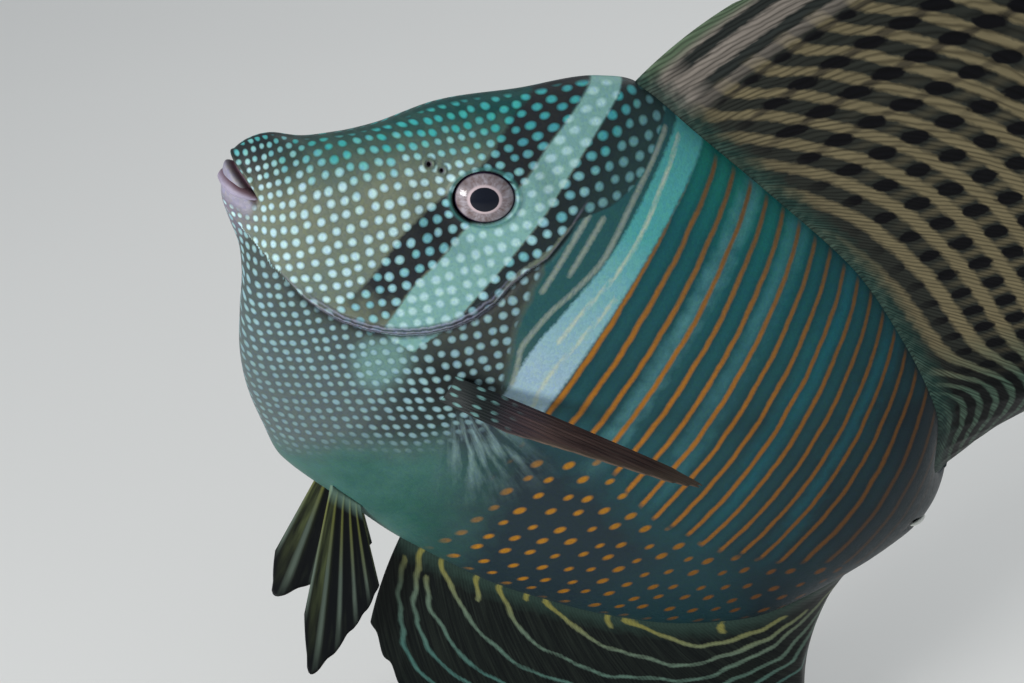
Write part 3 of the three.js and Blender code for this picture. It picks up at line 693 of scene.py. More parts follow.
class TANG_OT_skin(bpy.types.Operator):
    """Wraps one skin over head, jaws, gill covers, trunk and tail stem"""

    bl_idname = "tang.skin"
    bl_label = "Skin"

    def execute(self, context):
        bm = bmesh.new()
        bmesh.ops.create_grid(bm, x_segments=SKIN_SECTIONS, y_segments=SKIN_ROUND, size=0.5)
        for stage in range(3):
            u, v = np.array([vert.co[:2] for vert in bm.verts]).T + 0.5
            x, _, z = skin_shape(u, v).T
            near = set(np.flatnonzero(cut_finer(x, z)[stage]))
            edges = [edge for edge in bm.edges if all(vert.index in near for vert in edge.verts)]
            bmesh.ops.subdivide_edges(bm, edges=edges, cuts=1, use_grid_fill=True)
            bm.verts.index_update()
        mesh = mesh_of(bm, "skin")
        u, v = (places_of(mesh)[:, :2] + 0.5).T
        plain = skin_shape(u, v)
        x, y, z = plain.T
        height, gill, eye, mouth = relief(x, y, z)
        up = np.sin(2 * math.pi * v)
        girth = girth_at(x, up)
        note(mesh, "place", x, girth, z)
        note(mesh, "form", up, eye, mouth)
        edges = (FRONT_BAR_LEFT, FRONT_BAR_RIGHT, MINT_RIGHT, REAR_BAR_RIGHT)
        sides = zip(edges, edges[1:], BAR_ENDS)
        note(mesh, "bars", *[across(x, z, left, right, low, BAR_TOP) for left, right, low in sides])
        tan, cream = [
            np.minimum.reduce([beside(x, z, *line) for line in lines]) for lines in (TAN_LINES, CREAM_LINES)
        ]
        note(mesh, "lines", column_at(x, z), tan, cream)
        note(mesh, "edges", gill, x - Curve(BLUE_BAND_LEFT)(z), top_at(x) - z)
        note(mesh, "dots", *dot_grid(x, z, gill, girth), z - Curve(LINES_END)(x))
        note(mesh, "margins", x - Curve(SHOULDER_EDGE)(z), to_path(x, z, BELLY_EDGE), 0)
        move_to(mesh, posed(plain + outward(skin_shape, u, v) * height[:, None]))
        closed(mesh)
        set_out(
            "skin", mesh, skin_finish(context.scene.tang), "skin_body",
            "head", "jaw_upper", "jaw_lower", "gill_cover_left", "gill_cover_right", "torso", "tail_stem",
        )
        return {"FINISHED"}


def head_ground(paint, look):
    x, z, gill, crown, cloud, mottle = paint.get("x z gill crown cloud mottle")
    snout = (x + mottle * 3).step(13, 5)
    return paint.layers(
        look.head_ground,
        ("olive clouds", (0.11, 0.15, 0.125), (cloud + mottle * 0.3).step(-0.3, 0.6)),
        ("dark crown", (0.008, 0.055, 0.052), (crown + mottle * 4).step(19, 2)),
        ("throat", (0.042, 0.055, 0.05), (gill + mottle).step(-0.4, 0.6) * z.step(2, -6)),
        ("low throat", (0.06, 0.085, 0.085), (z + mottle * 5).step(-8, -26)),
        ("chin", (0.17, 0.15, 0.19), snout * z.step(3, -2)),
        ("snout tip", (0.012, 0.015, 0.02), (x + mottle * 3).step(16, 3) * z.step(4.5, 9) * 0.9),
    )


def trunk_ground(paint, look):
    x, z, depth, above_end, cloud, mottle = paint.get("x z depth above_end cloud mottle")
    bands = sum(
        abs(x + z * lean + mottle * waver - at).inside(soft) * strength
        for at, lean, waver, soft, strength in PALE_BANDS
    )
    glow = paint.mix((0.13, 0.36, 0.38), (0.004, 0.15, 0.19), x.step(130, 160))
    return paint.layers(
        look.trunk_ground,
        ("upper flank", (0.006, 0.09, 0.1), (z + mottle * 8).step(10, 50)),
        ("back", (0.006, 0.15, 0.125), (depth + mottle * 5).step(20, 3) * x.step(150, 112)),
        # rear: painted shade, the ground darkened towards the tail where the light falls off
        ("rear", (0.005, 0.016, 0.022), (x + cloud * 20).step(135, 205)),
        ("pale bands", glow, bands * z.step(-30, -5)),
        ("low flank", (0.014, 0.028, 0.036), (above_end + mottle * 6).step(4, -14) * x.step(185, 150)),
    )


def skin_ground(paint, look):
    """The ground of head and trunk, with the shoulder, the belly and what lies between."""
    x, z, gill, band, shoulder, belly = paint.get("x z gill band shoulder belly")
    cloud, mottle, ragged = paint.get("cloud mottle ragged")
    trunk = trunk_ground(paint, look)
    ground = paint.mix(head_ground(paint, look), trunk, (x + ragged * 0.5).step(99.1, 100.1))
    teal = paint.mix((0.05, 0.1, 0.095), (0.018, 0.085, 0.09), (z + mottle * 4).step(-6, 12))
    behind = (x + ragged * 0.6).step(70, 72) * gill.step(-0.2, 0.4) * x.step(100.1, 99.1)
    breast = (paint.length((x - 55) / 7, (z + 17) / 8.5) + mottle * 0.3).step(1.2, 0.6) * gill.step(0, 0.5)
    brown = paint.mix((0.035, 0.042, 0.038), (0.016, 0.026, 0.025), z.step(-2, -14))
    edge = (shoulder + mottle).inside(1.5) * gill.step(-0.1, 0.4) * belly.step(1, -4)
    fin_base = (paint.length((x - 74) * 0.09, (z + 13.5) * 0.13) + mottle * 0.25).step(1.15, 0.55)
    blue = paint.mix(look.blue_band, (0.3, 0.45, 0.53), (z + mottle * 4).step(44, 0))
    in_band = (band + ragged * 0.7).step(-0.5, 0.5) * (x + ragged * 0.5).step(100.3, 99.1)
    under = paint.layers(
        (0.02, 0.085, 0.068),
        ("belly clouds", (0.05, 0.135, 0.12), (cloud + mottle * 0.4).step(-0.4, 0.5)),
        ("rear belly", trunk, (x + z * 0.4 + mottle * 8).step(66, 96)),
    )
    spoke = (z + 13).direction_over(x - 73)
    from_root = paint.length(x - 73, z + 13)
    rays = paint.noise((spoke * 11, from_root * 0.07), detail=3)
    fan = spoke.step(-1.15, -0.8) * spoke.step(-0.15, -0.35) * from_root.step(46, 24) * from_root.step(8, 15)
    return paint.layers(
        ground,
        ("shoulder", teal, behind * (shoulder + mottle).step(-1.5, 1.5)),
        ("pale breast", (0.12, 0.23, 0.21), breast * 0.9),
        ("brown shoulder edge", brown, edge * x.step(58, 66)),
        ("pectoral fin base", (0.01, 0.013, 0.013), fin_base * z.step(2, -6) * 0.85),
        ("blue band", blue, in_band * (z + mottle * 4).step(-16, -9)),
        ("belly", under, (belly + mottle * 4).step(-6, 7) * (x + ragged).step(132, 112)),
        # Painted shade: the fan is darkened near the pectoral fin's root.
        ("painted shade near the pectoral root", (0.02, 0.022, 0.035), fan * from_root.step(30, 16) * 0.8),
        ("pale fan streaks", (0.22, 0.34, 0.34), fan * rays.step(-0.15, 0.5) * 0.85),
    )


def head_bars(paint, look, ground):
    """Dark bars in front of and behind a mint one; keeps where they are for the dots."""
    x, z, front, mint, rear, gill, mottle, ragged = paint.get("x z front mint rear gill mottle ragged")
    edge = ragged * 0.55
    in_mint = (mint + edge).inside(0.35)
    in_front = (front + edge).inside(0.5)
    in_rear = (rear + edge).inside(0.4) * (gill.step(0.1, -0.2) | z.step(26, 30))
    rear_colour = paint.mix((0.014, 0.022, 0.024), (0.018, 0.045, 0.045), (x + mottle * 3).step(72, 84))
    paint.kept.update(in_mint=in_mint, in_rear=in_rear, in_dark=in_front | in_rear)
    return paint.layers(
        ground,
        ("mint bar", look.mint_bar, in_mint),
        ("front bar", look.dark_bar, in_front * (z + mottle * 5).step(-10, 0)),
        ("rear bar", rear_colour, in_rear),
    )


def head_dots(paint, look, ground):
    """Pale dots inside a darker halo, fainter on the throat."""
    x, z, up, gill, mouth, shoulder, belly = paint.get("x z up gill mouth shoulder belly")
    dot_x, dot_y, in_mint, in_rear, in_dark = paint.get("dot_x dot_y in_mint in_rear in_dark")
    crown, pits, cloud, mottle = paint.get("crown pits cloud mottle")
    tilted = paint.node(
        "VectorRotate", {"Vector": (dot_x + mottle * 0.12, dot_y), "Angle": DOT_ROW_TILT},
        rotation_type="Z_AXIS",
    )
    near = paint.cells(tilted, 1.0, 0.22)
    pick, other_pick, _ = near.also("Color").parts("Color")
    size = pick * 0.06 + look.dot_size
    reach = ((shoulder + mottle).step(0.3, -0.8) | in_rear) * (belly + mottle * 3).step(4, -5)
    off_lips = x.step(7, 10) | mouth.step(-0.2, 0.5) | z.step(-1.5, -3.5)
    off_ridge = up.step(0.998, 0.988)
    haze = (z + mottle * 6).step(-22, -42) * (x + cloud * 6).step(82, 62)
    dots = near.step(size + 0.11, size - 0.1) * reach * off_lips * off_ridge
    for pit, clear in zip(pits, ((1.2, 2), (1.1, 1.8))):
        dots = dots * pit.step(*clear)
    in_bars = paint.mix((0.15, 0.4, 0.44), (0.045, 0.27, 0.3), z.step(34, 50))
    colour = paint.layers(
        look.head_dots,
        ("throat dots", (0.22, 0.37, 0.4), (gill + mottle).step(-0.4, 0.6)),
        ("crown dots", (0.045, 0.36, 0.35), (crown + other_pick * 6).step(22, 9)),
        ("bar dots", in_bars, in_dark * (other_pick * 0.5 + 0.5)),
        ("mint bar dots", (0.42, 0.63, 0.65), in_mint * 0.9),
        ("rear bar dots", (0.13, 0.27, 0.28), in_rear * x.step(74, 79) * 0.8),
    )
    ground = paint.mix(ground, (0.09, 0.115, 0.12), haze * reach * 0.5)
    halo = near.step(size + 0.2, size + 0.04) * reach * 0.6 * (1 - in_mint)
    ground = paint.tint(ground, (0.66, 0.7, 0.66), halo)
    dots = dots * (1 - haze * 0.5)
    return paint.mix(ground, colour, dots * (1 - in_mint * 0.25)), dots


def flank_lines(paint, look, colour):
    """Pale lines on the shoulder and orange ones on the flank, which break up into dots."""
    x, z, up, column, tan, cream = paint.get("x z up column tan cream")
    above_end, shoulder, depth, in_rear = paint.get("above_end shoulder depth in_rear")
    mottle, ragged = paint.get("mottle ragged")
    in_tan = (tan + ragged * 0.35 - 0.7).inside(0.45) * shoulder.step(-0.5, 0.5)
    whole = round(column)
    share = column - whole
    wander = paint.noise((x * 0.4, z), 0.11, swing=1.0)
    from_line = share * LINE_GAP + wander * 1.3
    width = paint.noise((whole * 9, z), 0.16, swing=0.35) + look.line_width
    upper_end = depth + paint.noise((whole * 7, 0), 0.9, 1, swing=4)
    lower_end = above_end + paint.noise((whole * 5, z), 0.1, 1, swing=9)
    line = (abs(from_line) + ragged * 0.2).step(width + 0.4, width - 0.35) * x.step(226, 200)
    line = line * upper_end.step(0.5, 2.5) * lower_end.step(-2.5, -0.5)
    orange = paint.layers(
        look.line_orange,
        ("brown upper end", (0.13, 0.075, 0.03), (z + mottle * 9).step(15, 60)),
        # The lines darken towards the tail: painted shade of the light falling off there.
        ("rear lines in painted shade", (0.07, 0.03, 0.008), x.step(140, 205)),
    )
    flank = (x + ragged * 0.4).step(99.6, 100.4)
    dark_side = (abs(from_line) - 1.9).inside(0.8) * flank * above_end.step(-3, 0)

    row = z / DOT_ROW_GAP + (whole * 0.5).fraction()
    chance = paint.node("TexWhiteNoise", {"Vector": (whole, round(row))}, "Color", noise_dimensions="2D")
    chance = chance.parts("Color")
    off_x = share * LINE_GAP + (chance[0] - 0.5) * 2.2
    off_z = (row - round(row)) * DOT_ROW_GAP + (chance[1] - 0.5) * 2.2
    oval = paint.length(off_x * 0.36 + off_z * 0.76, off_z * 0.55 - off_x * 1.15)
    radius = chance[2] * 0.45 + 1
    dots = oval.step(radius + 0.4, radius - 0.45) * above_end.step(-0.5, -3.5) * up.step(-0.985, -0.9)
    dots = dots * (x + mottle * 5).step(101, 113) * x.step(226, 205)
    colour = paint.layers(
        colour,
        ("tan lines", (0.24, 0.29, 0.25), in_tan * 0.85 * (1 - in_rear)),
        ("cream lines", (0.47, 0.53, 0.4), (cream + ragged * 0.35 - 0.55).inside(0.45) * 0.85),
    )
    colour = paint.tint(colour, (0.4, 0.5, 0.55), dark_side * 0.55)
    return paint.layers(
        colour,
        ("orange lines", orange, line * flank),
        # The flank dots darken towards the tail: painted shade of the light falling off there.
        ("orange dots", paint.mix(look.orange_dots, (0.09, 0.035, 0.008), x.step(130, 195)), dots * flank),
    )


def head_features(paint, colour):
    """Gill fold, mouth, eye ring and nostrils, with painted shade in the groove, creases, mouth, socket and nostril
    holes; also gives the height of the fold's creases.
    """
    x, z, eye, mouth, gill, pits, mottle, ragged = paint.get("x z eye mouth gill pits mottle ragged")
    fold = z.step(46, 34) * x.step(20, 30)
    rim = (abs(gill + 0.25) - 0.32).inside(0.28) * (mottle + ragged * 0.4).step(-0.45, 0.1)
    creases = (gill * 0.9 + mottle * 0.8 + ragged * 0.15).wave()
    creased = (abs(gill + 0.9 + mottle * 0.5) - 1.3).inside(0.6) * fold * z.step(26, 4) * x.step(26, 40)
    # Dark in the troughs of the fold's creases as painted shade, pale lavender on their crests.
    crease_tone_and_painted_shade = paint.mix((0.03, 0.03, 0.042), (0.21, 0.22, 0.3), (creases + ragged * 0.6).step(0.2, 0.9))
    pink = mouth.step(0.1, -0.4) * x.step(MOUTH_CORNER + 0.6, MOUTH_CORNER - 1.2) * z.step(-2.5, -0.5)
    colour = paint.layers(
        colour,
        # Painted shade: the groove behind the gill fold is darkened.
        ("painted shade in the gill groove", (0.012, 0.012, 0.014), (abs(gill - 0.75) - 0.45).inside(0.5) * fold * 0.9),
        ("gill rim", (0.22, 0.21, 0.27), rim * fold * 0.9),
        ("gill creases", crease_tone_and_painted_shade, creased * 0.85),
        # The gap takes the mouth's own darker pink, deepened as painted shade inside the mouth.
        ("inner mouth with painted shade", (0.1, 0.06, 0.075), pink * mouth.step(-3, -1.5)),
        ("lower lip", (0.3, 0.28, 0.36), pink * mouth.step(-1.5, -3) * 0.8),
        ("eye ring", (0.03, 0.13, 0.12), (abs(eye - 7.25) - 0.35).inside(0.4) * 0.8),
        # Painted shade: the socket wall round the eyeball is darkened.
        ("eye socket", (0.012, 0.01, 0.018), eye.step(6.75, 6.45)),
    )
    for pit, (_, _, radius) in zip(pits, NOSTRILS):
        colour = paint.layers(
            colour,
            ("nostril rim", (0.1, 0.06, 0.11), (pit - radius * 0.9).inside(0.3)),
            # Painted shade: the middle of each nostril hole is darkened.
            ("nostril", (0.01, 0.008, 0.012), (pit - radius * 0.5).inside(0.2)),
        )
    return colour, creased * creases


def skin_finish(look):
    """Dotted head with dark and mint bars, and an orange-lined trunk, on fine scales."""
    paint = Finish("tang_skin", {"Specular IOR Level": 0.2})
    x, girth, z, depth = paint.get("x girth z depth")
    flat = paint.point(x, girth)
    mottle = paint.noise(flat, 0.22, 3)
    paint.kept.update(cloud=paint.noise(flat, 0.045), mottle=mottle, ragged=paint.noise(flat, 0.8, 3))
    paint.kept["crown"] = depth + 9 - x * 0.2
    paint.kept["pits"] = [paint.length(x - at_x, z - at_z) for at_x, at_z, _ in NOSTRILS]
    ground = head_bars(paint, look, skin_ground(paint, look))
    colour, dots = head_dots(paint, look, ground)
    colour, creases = head_features(paint, flank_lines(paint, look, colour))
    scale = paint.cells(flat, look.scale_density, 0.8)
    pick, other_pick, _ = scale.also("Color").parts("Color")
    grain = paint.noise(flat, 2.4)
    cool = pick * 0.26 + grain * 0.12 + 0.86
    speck = (pick * 0.3 + grain * 0.12 + 0.84, cool, other_pick * 0.26 + grain * 0.12 + 0.86)
    paint.bump(scale * -0.5 + grain * 0.25 + dots * 0.35 + creases * 3, 0.00006, 0.7)
    return paint.done(paint.tint(colour, speck, 0.55), mottle * 0.06 + pick * 0.08 + 0.4)


# Fins
DORSAL = {
    "rays": 33, "spines": 4, "from": 75.6, "to": 228, "sweep": 8, "wave": 2.2, "curl": 0,
    "length": [
        (0, 30), (0.04, 50), (0.09, 70), (0.2, 96), (0.35, 109), (0.5, 113), (0.65, 107), (0.8, 90),
        (0.9, 70), (1, 42),
    ],
    "angle": [(0, 80), (0.17, 72), (0.4, 63), (0.62, 57), (0.8, 52), (1, 45)],
}
ANAL = {
    "rays": 26, "spines": 3, "from": 97.5, "to": 225.5, "sweep": -6, "wave": 1.6, "curl": 20,
    "length": [
        (0, 31), (0.05, 43), (0.1, 53), (0.25, 72), (0.45, 81), (0.6, 74), (0.75, 59), (0.88, 40), (1, 20),
    ],
    "angle": [(0, -80), (0.2, -65), (0.4, -53), (0.6, -42), (0.8, -30), (1, -24)],
}
TAIL_ROOT = 243
TAIL_LOW = -11.5
TAIL_HIGH = 18.5
TAIL_SPREAD = 17
TAIL_CORNER = 71
TAIL_MIDDLE = 64
TAIL_RAYS = 16
SPOT_SERIES = [(0, -1.8), (0.038, -1), (0.092, 0), (0.13, 1), (0.187, 2), (0.304, 4), (0.419, 6), (0.531, 8),
               (0.625, 10), (0.702, 12), (0.77, 14), (1, 21)]
SPOT_RISE = [(0, -4), (0.13, -0.1), (0.187, 8.6), (0.246, 15.8), (0.304, 22.6), (0.361, 28), (0.419, 31.6),
             (0.477, 34.2), (0.531, 35.4), (0.579, 36.4), (0.625, 37.6), (0.702, 38.6), (0.76, 38.9),
             (0.85, 38), (0.9, 35.4), (0.95, 32.6), (1, 31.6)]
SPOT_PITCH = [(0, 9.4), (0.7, 9.3), (0.76, 8.9), (0.85, 4.9), (0.9, 4.3), (1, 4)]
ANAL_LINES = [
    [(0.03, 6), (0.036, 15), (0.055, 20), (0.07, 31.5), (0.1, 39.7), (0.136, 44), (0.25, 54), (0.4, 60)],
    [(0.06, 0), (0.064, 4.5), (0.073, 13.5), (0.09, 22.5), (0.114, 30), (0.145, 34.5), (0.195, 39), (0.3, 46),
     (0.45, 50), (0.6, 47), (0.75, 37), (0.9, 25), (1, 15)],
    [(0.09, 8), (0.1, 12), (0.118, 18), (0.155, 24), (0.195, 30), (0.227, 33), (0.273, 35.5), (0.35, 39),
     (0.5, 41), (0.62, 38), (0.75, 30), (0.88, 21), (1, 12)],
    [(0.115, 0), (0.136, 6), (0.173, 11), (0.218, 17), (0.264, 23), (0.31, 27), (0.4, 30), (0.5, 32),
     (0.6, 31.5), (0.7, 29), (0.8, 21), (0.9, 17), (1, 9)],
    [(0.268, 0), (0.28, 5), (0.31, 11), (0.336, 16), (0.39, 19.5), (0.455, 22.5), (0.51, 24), (0.6, 23.2),
     (0.7, 23.5), (0.745, 20), (0.8, 15.7), (0.855, 13), (0.91, 12), (1, 6.5)],
    [(0.38, 0), (0.436, 6), (0.5, 12), (0.564, 14), (0.636, 17), (0.69, 17), (0.755, 14), (0.82, 10.5),
     (0.9, 9)],
    [(0.57, 0), (0.636, 4), (0.69, 8), (0.727, 9.7), (0.78, 8), (0.82, 6), (0.87, 5)],
    [(0.218, 8), (0.21, 1)], [(0.336, 2), (0.336, 0)], [(0.536, 4), (0.53, 0)], [(0.77, 4), (0.775, 1)],
]
PECTORAL_BASE = [(68.7, -10.8), (72.5, -19)]
PECTORAL_LEADING = (71.5, -17.4, 12)
PECTORAL_SPREAD = (-0.273, -0.91, 0.312)
PECTORAL_FAN = 26
PECTORAL_LENGTH = [(0, 66), (0.1, 75), (0.3, 69), (0.5, 54), (0.7, 39), (0.85, 29), (1, 21)]
PECTORAL_RAYS = 12
PELVIC_BASE = [(68, -61), (79, -64)]
PELVIC_LENGTH = [(0, 40), (0.15, 58), (0.3, 53), (0.5, 44), (0.75, 35), (1, 26)]
PELVIC_ANGLE = [(0, -71), (1, -47)]
PELVIC_SPLAY = 11
PELVIC_RIGHT_LEAN = -9
PELVIC_RAYS = 6
ROOT_SINK = 3
COLUMNS_PER_RAY = 10
FIN_GLOSS = {"Specular IOR Level": 0.12}


def middle_fin(fin, outline, up):
    """Place of a point of the dorsal or anal fin: t along its base, and the distance out."""
    length, angle = Curve(fin["length"]), Curve(fin["angle"])

    def place(t, part):
        distance = -ROOT_SINK + (length(t) + ROOT_SINK) * part
        out = np.maximum(distance, 0)
        x = fin["from"] + (fin["to"] - fin["from"]) * t
        share = out / length(t)
        lean = np.radians(angle(t) - fin["sweep"] * share)
        sway = (fin["wave"] * np.sin(3 * math.pi * t) + fin["curl"] * smooth_step(t, 0.45, 1)) * share ** 2
        z = outline(x) + up * np.minimum(distance, 0) + out * np.sin(lean)
        return np.stack([x + out * np.cos(lean), sway, z], axis=1), out

    return place


def tail_place(t, part):
    centre = (TAIL_LOW + TAIL_HIGH) / 2
    share = 2 * t - 1
    distance = (TAIL_MIDDLE + (TAIL_CORNER - TAIL_MIDDLE) * share ** 2) * part
    lean = np.radians(TAIL_SPREAD * share)
    z = centre + share * (TAIL_HIGH - centre) + distance * np.sin(lean)
    return np.stack([TAIL_ROOT + distance * np.cos(lean), np.zeros_like(t), z], axis=1), distance


def unit(vector):
    return np.array(vector, float) / np.linalg.norm(vector)


def pectoral_place(t, part):
    first, last = [np.array([x, -float(side_at(x, z)), z]) for x, z in PECTORAL_BASE]
    distance = Curve(PECTORAL_LENGTH)(t) * part
    opening = np.radians(PECTORAL_FAN * t)
    base = first + (last - first) * t[:, None]
    along = unit(PECTORAL_LEADING) * np.cos(opening)[:, None]
    along += unit(PECTORAL_SPREAD) * np.sin(opening)[:, None]
    return bury_root(base + along * distance[:, None], distance, 2.4, 12), distance


def pelvic_fin(extra_lean):
    first, last = [np.array([x, -float(side_at(x, z)) + 0.8, z]) for x, z in PELVIC_BASE]

    def place(t, part):
        distance = Curve(PELVIC_LENGTH)(t) * part
        lean = np.radians(Curve(PELVIC_ANGLE)(t) + extra_lean * (1 - t))
        splay = math.radians(PELVIC_SPLAY)
        flat = [np.cos(lean), np.full_like(t, -math.tan(splay)), np.sin(lean)]
        out = np.stack(flat, axis=1) * math.cos(splay)
        return first + (last - first) * t[:, None] + out * distance[:, None], distance

    return place


def bury_root(point, distance, depth, reach):
    """Sinks the root of a paired fin into the body's left side."""
    point = point.copy()
    point[:, 1] += depth * (1 - smooth_step(distance, 0, reach))
    return point


def fin_mesh(
    name, place, rays, spines=0, rows=64, root_half=1.1, root_reach=6, rise=0.2, mirror=1,
    marks=None, kept="",
):
    """A thin fin of two close faces, ridged at its rays and closed at its rim."""
    bm = bmesh.new()
    for face in (1, -1):
        there = Matrix.Translation((0, 0, face))
        columns = (rays - 1) * COLUMNS_PER_RAY
        bmesh.ops.create_grid(bm, x_segments=columns, y_segments=rows, size=0.5, matrix=there)
    mesh = mesh_of(bm, name)
    t, part, face = (places_of(mesh) + (0.5, 0.5, 0)).T
    phase = t * (rays - 1)
    off_ray = np.abs(phase - np.round(phase))
    stout = np.round(phase) < spines
    tip = np.where(stout, 1 - 0.05 * smooth_step(off_ray, 0, 0.5), 1 - 0.018 * smooth_step(off_ray, 0.1, 0.5))
    reach = part * (1 - smooth_step(part, 0.85, 1) * (1 - tip))
    point, distance = place(t, reach)
    step = 1e-3
    along = place(t, reach + step)[0] - place(t, reach - step)[0]
    over = place(np.minimum(t + step, 1), reach)[0] - place(np.maximum(t - step, 0), reach)[0]
    normal = np.cross(over, along)
    normal /= np.linalg.norm(normal, axis=1, keepdims=True)
    branch = smooth_step(part, 0.3, 0.6) * (1 - stout)
    crest = np.exp(-(off_ray / 0.17) ** 2) * (1 - 0.45 * branch)
    crest = crest + 0.5 * branch * np.exp(-((off_ray - 0.25) / 0.1) ** 2)
    crest = crest * smooth_step(distance, 0, root_reach)
    half = 0.22 + np.where(stout, 0.5, rise) * (1 - 0.65 * part) * crest
    half = half + (root_half - 0.3) * (1 - smooth_step(distance, 0, root_reach))
    rim = np.minimum(np.minimum(t, 1 - t) * (rays - 1) / 0.2, (1 - part) / 0.02)
    half = half * np.sqrt(np.clip(rim, 0, 1)) * np.where(part <= 0, 0, 1)
    point = point + normal * (face * half)[:, None]
    point[:, 1] *= mirror
    note(mesh, "fan", t, part, distance)
    note(mesh, "ray", phase, off_ray, crest)
    if marks:
        note(mesh, kept, *marks(t, distance))
    move_to(mesh, posed(point))
    return closed(mesh)


def dorsal_marks(t, out):
    """Across the series of spots, along them, and across the fine rays."""
    rise = Curve(SPOT_RISE)(t)
    slant = (0.0042 * out + 0.05 * (1 - np.exp(-out / 7))) * (0.25 + 0.75 * smooth_step(t, 0.08, 0.6))
    return Curve(SPOT_SERIES)(t), (out - rise) / Curve(SPOT_PITCH)(t), (t - slant) * 150


def rounded(path):
    """Cuts the corners of a path twice."""
    for _ in range(2):
        sides = list(zip(path, path[1:]))
        cuts = [(a + (c - a) * part, b + (d - b) * part) for (a, b), (c, d) in sides for part in (0.25, 0.75)]
        path = [path[0], *cuts, path[-1]]
    return path


def anal_marks(t, out):
    """Distance to the nearest pale line, and place across the fine rays."""
    span = ANAL["to"] - ANAL["from"]
    wave_x = t * span + 0.3 * np.sin(out * 0.8) + 0.3 * np.sin(out * 0.37 + t * 9)
    wave_z = out + 0.25 * np.sin(t * span * 0.75) + 0.35 * np.sin(t * span * 0.33 + out * 0.1)
    gaps = [np.abs(to_path(wave_x, wave_z, rounded([(a * span, b) for a, b in line]))) for line in ANAL_LINES]
    return np.minimum.reduce(gaps), (t - 0.003 * out) * span, 0


def dorsal_finish(look):
    """Rows of black spots between tan bands, beaded lines at the rear and fine rays."""
    paint = Finish("tang_dorsal", FIN_GLOSS)
    t, out, crest, series, row, strand = paint.get("t out crest series row strand")
    cloud = paint.noise((t * 6, out * 0.05))
    streak = paint.noise((strand * 1.6, out * 0.035))
    mottle = paint.noise((t * 60, out * 0.35))
    ripple = paint.noise((strand * 0.09, out * 0.06, 2.0), detail=3)
    row = row + mottle * 0.12
    series = series + mottle * 0.08
    to_row = abs(row - round(row))
    to_series = abs(series - round(series))
    band = to_row.step(0.22, 0.36)
    link = to_series.step(0.15, 0.05) * out.step(6, 14) * t.step(0.42, 0.25)
    bridge = (to_series + streak * 0.04).step(0.3, 0.45) * t.step(0.25, 0.5) * out.step(14, 30)
    weak = t.step(0.1, 0.2) * 0.14 + out.step(2, 24) * 0.1
    spot = paint.length(to_series * 1.2, to_row * 0.9).step(weak + 0.1, weak + 0.02) * out.step(5, 13)
    lines = (to_row + series.wave() * 0.06).step(0.26, 0.4) * streak.step(-0.7, 0.1)
    beaded = paint.mix((0.002, 0.003, 0.003), (0.05, 0.085, 0.06), lines)
    bars = (to_series + streak * 0.1).step(0.3, 0.16) * out.step(5, 12)
    front_colour = paint.layers(
        (0.2, 0.175, 0.15),
        ("front bars", (0.02, 0.024, 0.022), bars),
        ("front edge", (0.09, 0.13, 0.08), t.step(0.028, 0.012)),
    )
    front = t.step(0.13, 0.09)
    scaly = paint.mix((0.012, 0.036, 0.03), (0.06, 0.11, 0.085), (mottle + streak * 0.5).step(-0.2, 0.7))
    colour = paint.layers(
        (0.02, 0.022, 0.018),
        ("tan bands", look.fin_tan, band * (out.step(2, 12) * 0.4 + 0.6)),
        ("dark links", (0.018, 0.016, 0.014), link * 0.75),
        ("tan bridges", look.fin_tan, bridge * (1 - band) * 0.55),
        ("spots", (0.002, 0.002, 0.003), spot * (1 - front)),
        ("beaded rear", beaded, t.step(0.74, 0.84)),
        ("front", front_colour, front),
        ("scaly root", scaly, (out + mottle * 3).step(6, 1.5) * 0.85),
    )
    strands = (strand * 0.8 + cloud * 0.5 + ripple * 1.6).wave()
    # Darkened in the grooves between the strands, where the bump is low: the fin's fine streaks deepened by painted
    # groove shade.
    colour = paint.shade(colour, strands.step(0.05, 0.7) * 0.55 + streak * 0.4 + 0.52, 0.9)
    paint.bump(strands * 0.5 + crest * 0.5, 0.00012, 0.6)
    return paint.done(colour, mottle * 0.06 + 0.5)


def anal_finish(look):
    """Nearly black, with curved lines that turn from cream at the root to pale turquoise."""
    paint = Finish("tang_anal", FIN_GLOSS)
    t, out, crest, gap, strand = paint.get("t out crest gap trace_strand")
    streak = paint.noise((strand * 1.4, out * 0.05))
    mottle = paint.noise((t * 50, out * 0.4))
    strands = (strand * 0.95).wave()
    line = (gap + mottle * 0.3 + strands * 0.25 + out.step(2, 20) * 0.25).step(1.3, 0.6)
    pale = paint.layers(
        look.anal_line,
        ("grey green", (0.12, 0.17, 0.12), out.step(2, 14)),
        ("turquoise", (0.06, 0.15, 0.13), out.step(14, 34)),
    )
    colour = paint.layers(
        (0.003, 0.005, 0.005),
        ("streaks", (0.016, 0.022, 0.017), streak.step(-0.2, 0.8)),
        ("root", (0.02, 0.04, 0.032), (out + mottle * 2).step(7, 1)),
        ("lines", pale, line * 0.9),
    )
    # Darkened in the grooves between the strands, where the bump is low: the fin's fine streaks deepened by painted
    # groove shade.
    colour = paint.shade(colour, strands * 0.3 + 0.78, 0.8)
    paint.bump(strands * 0.4 + crest * 0.6, 0.00012, 0.6)
    return paint.done(colour, mottle * 0.06 + 0.45)


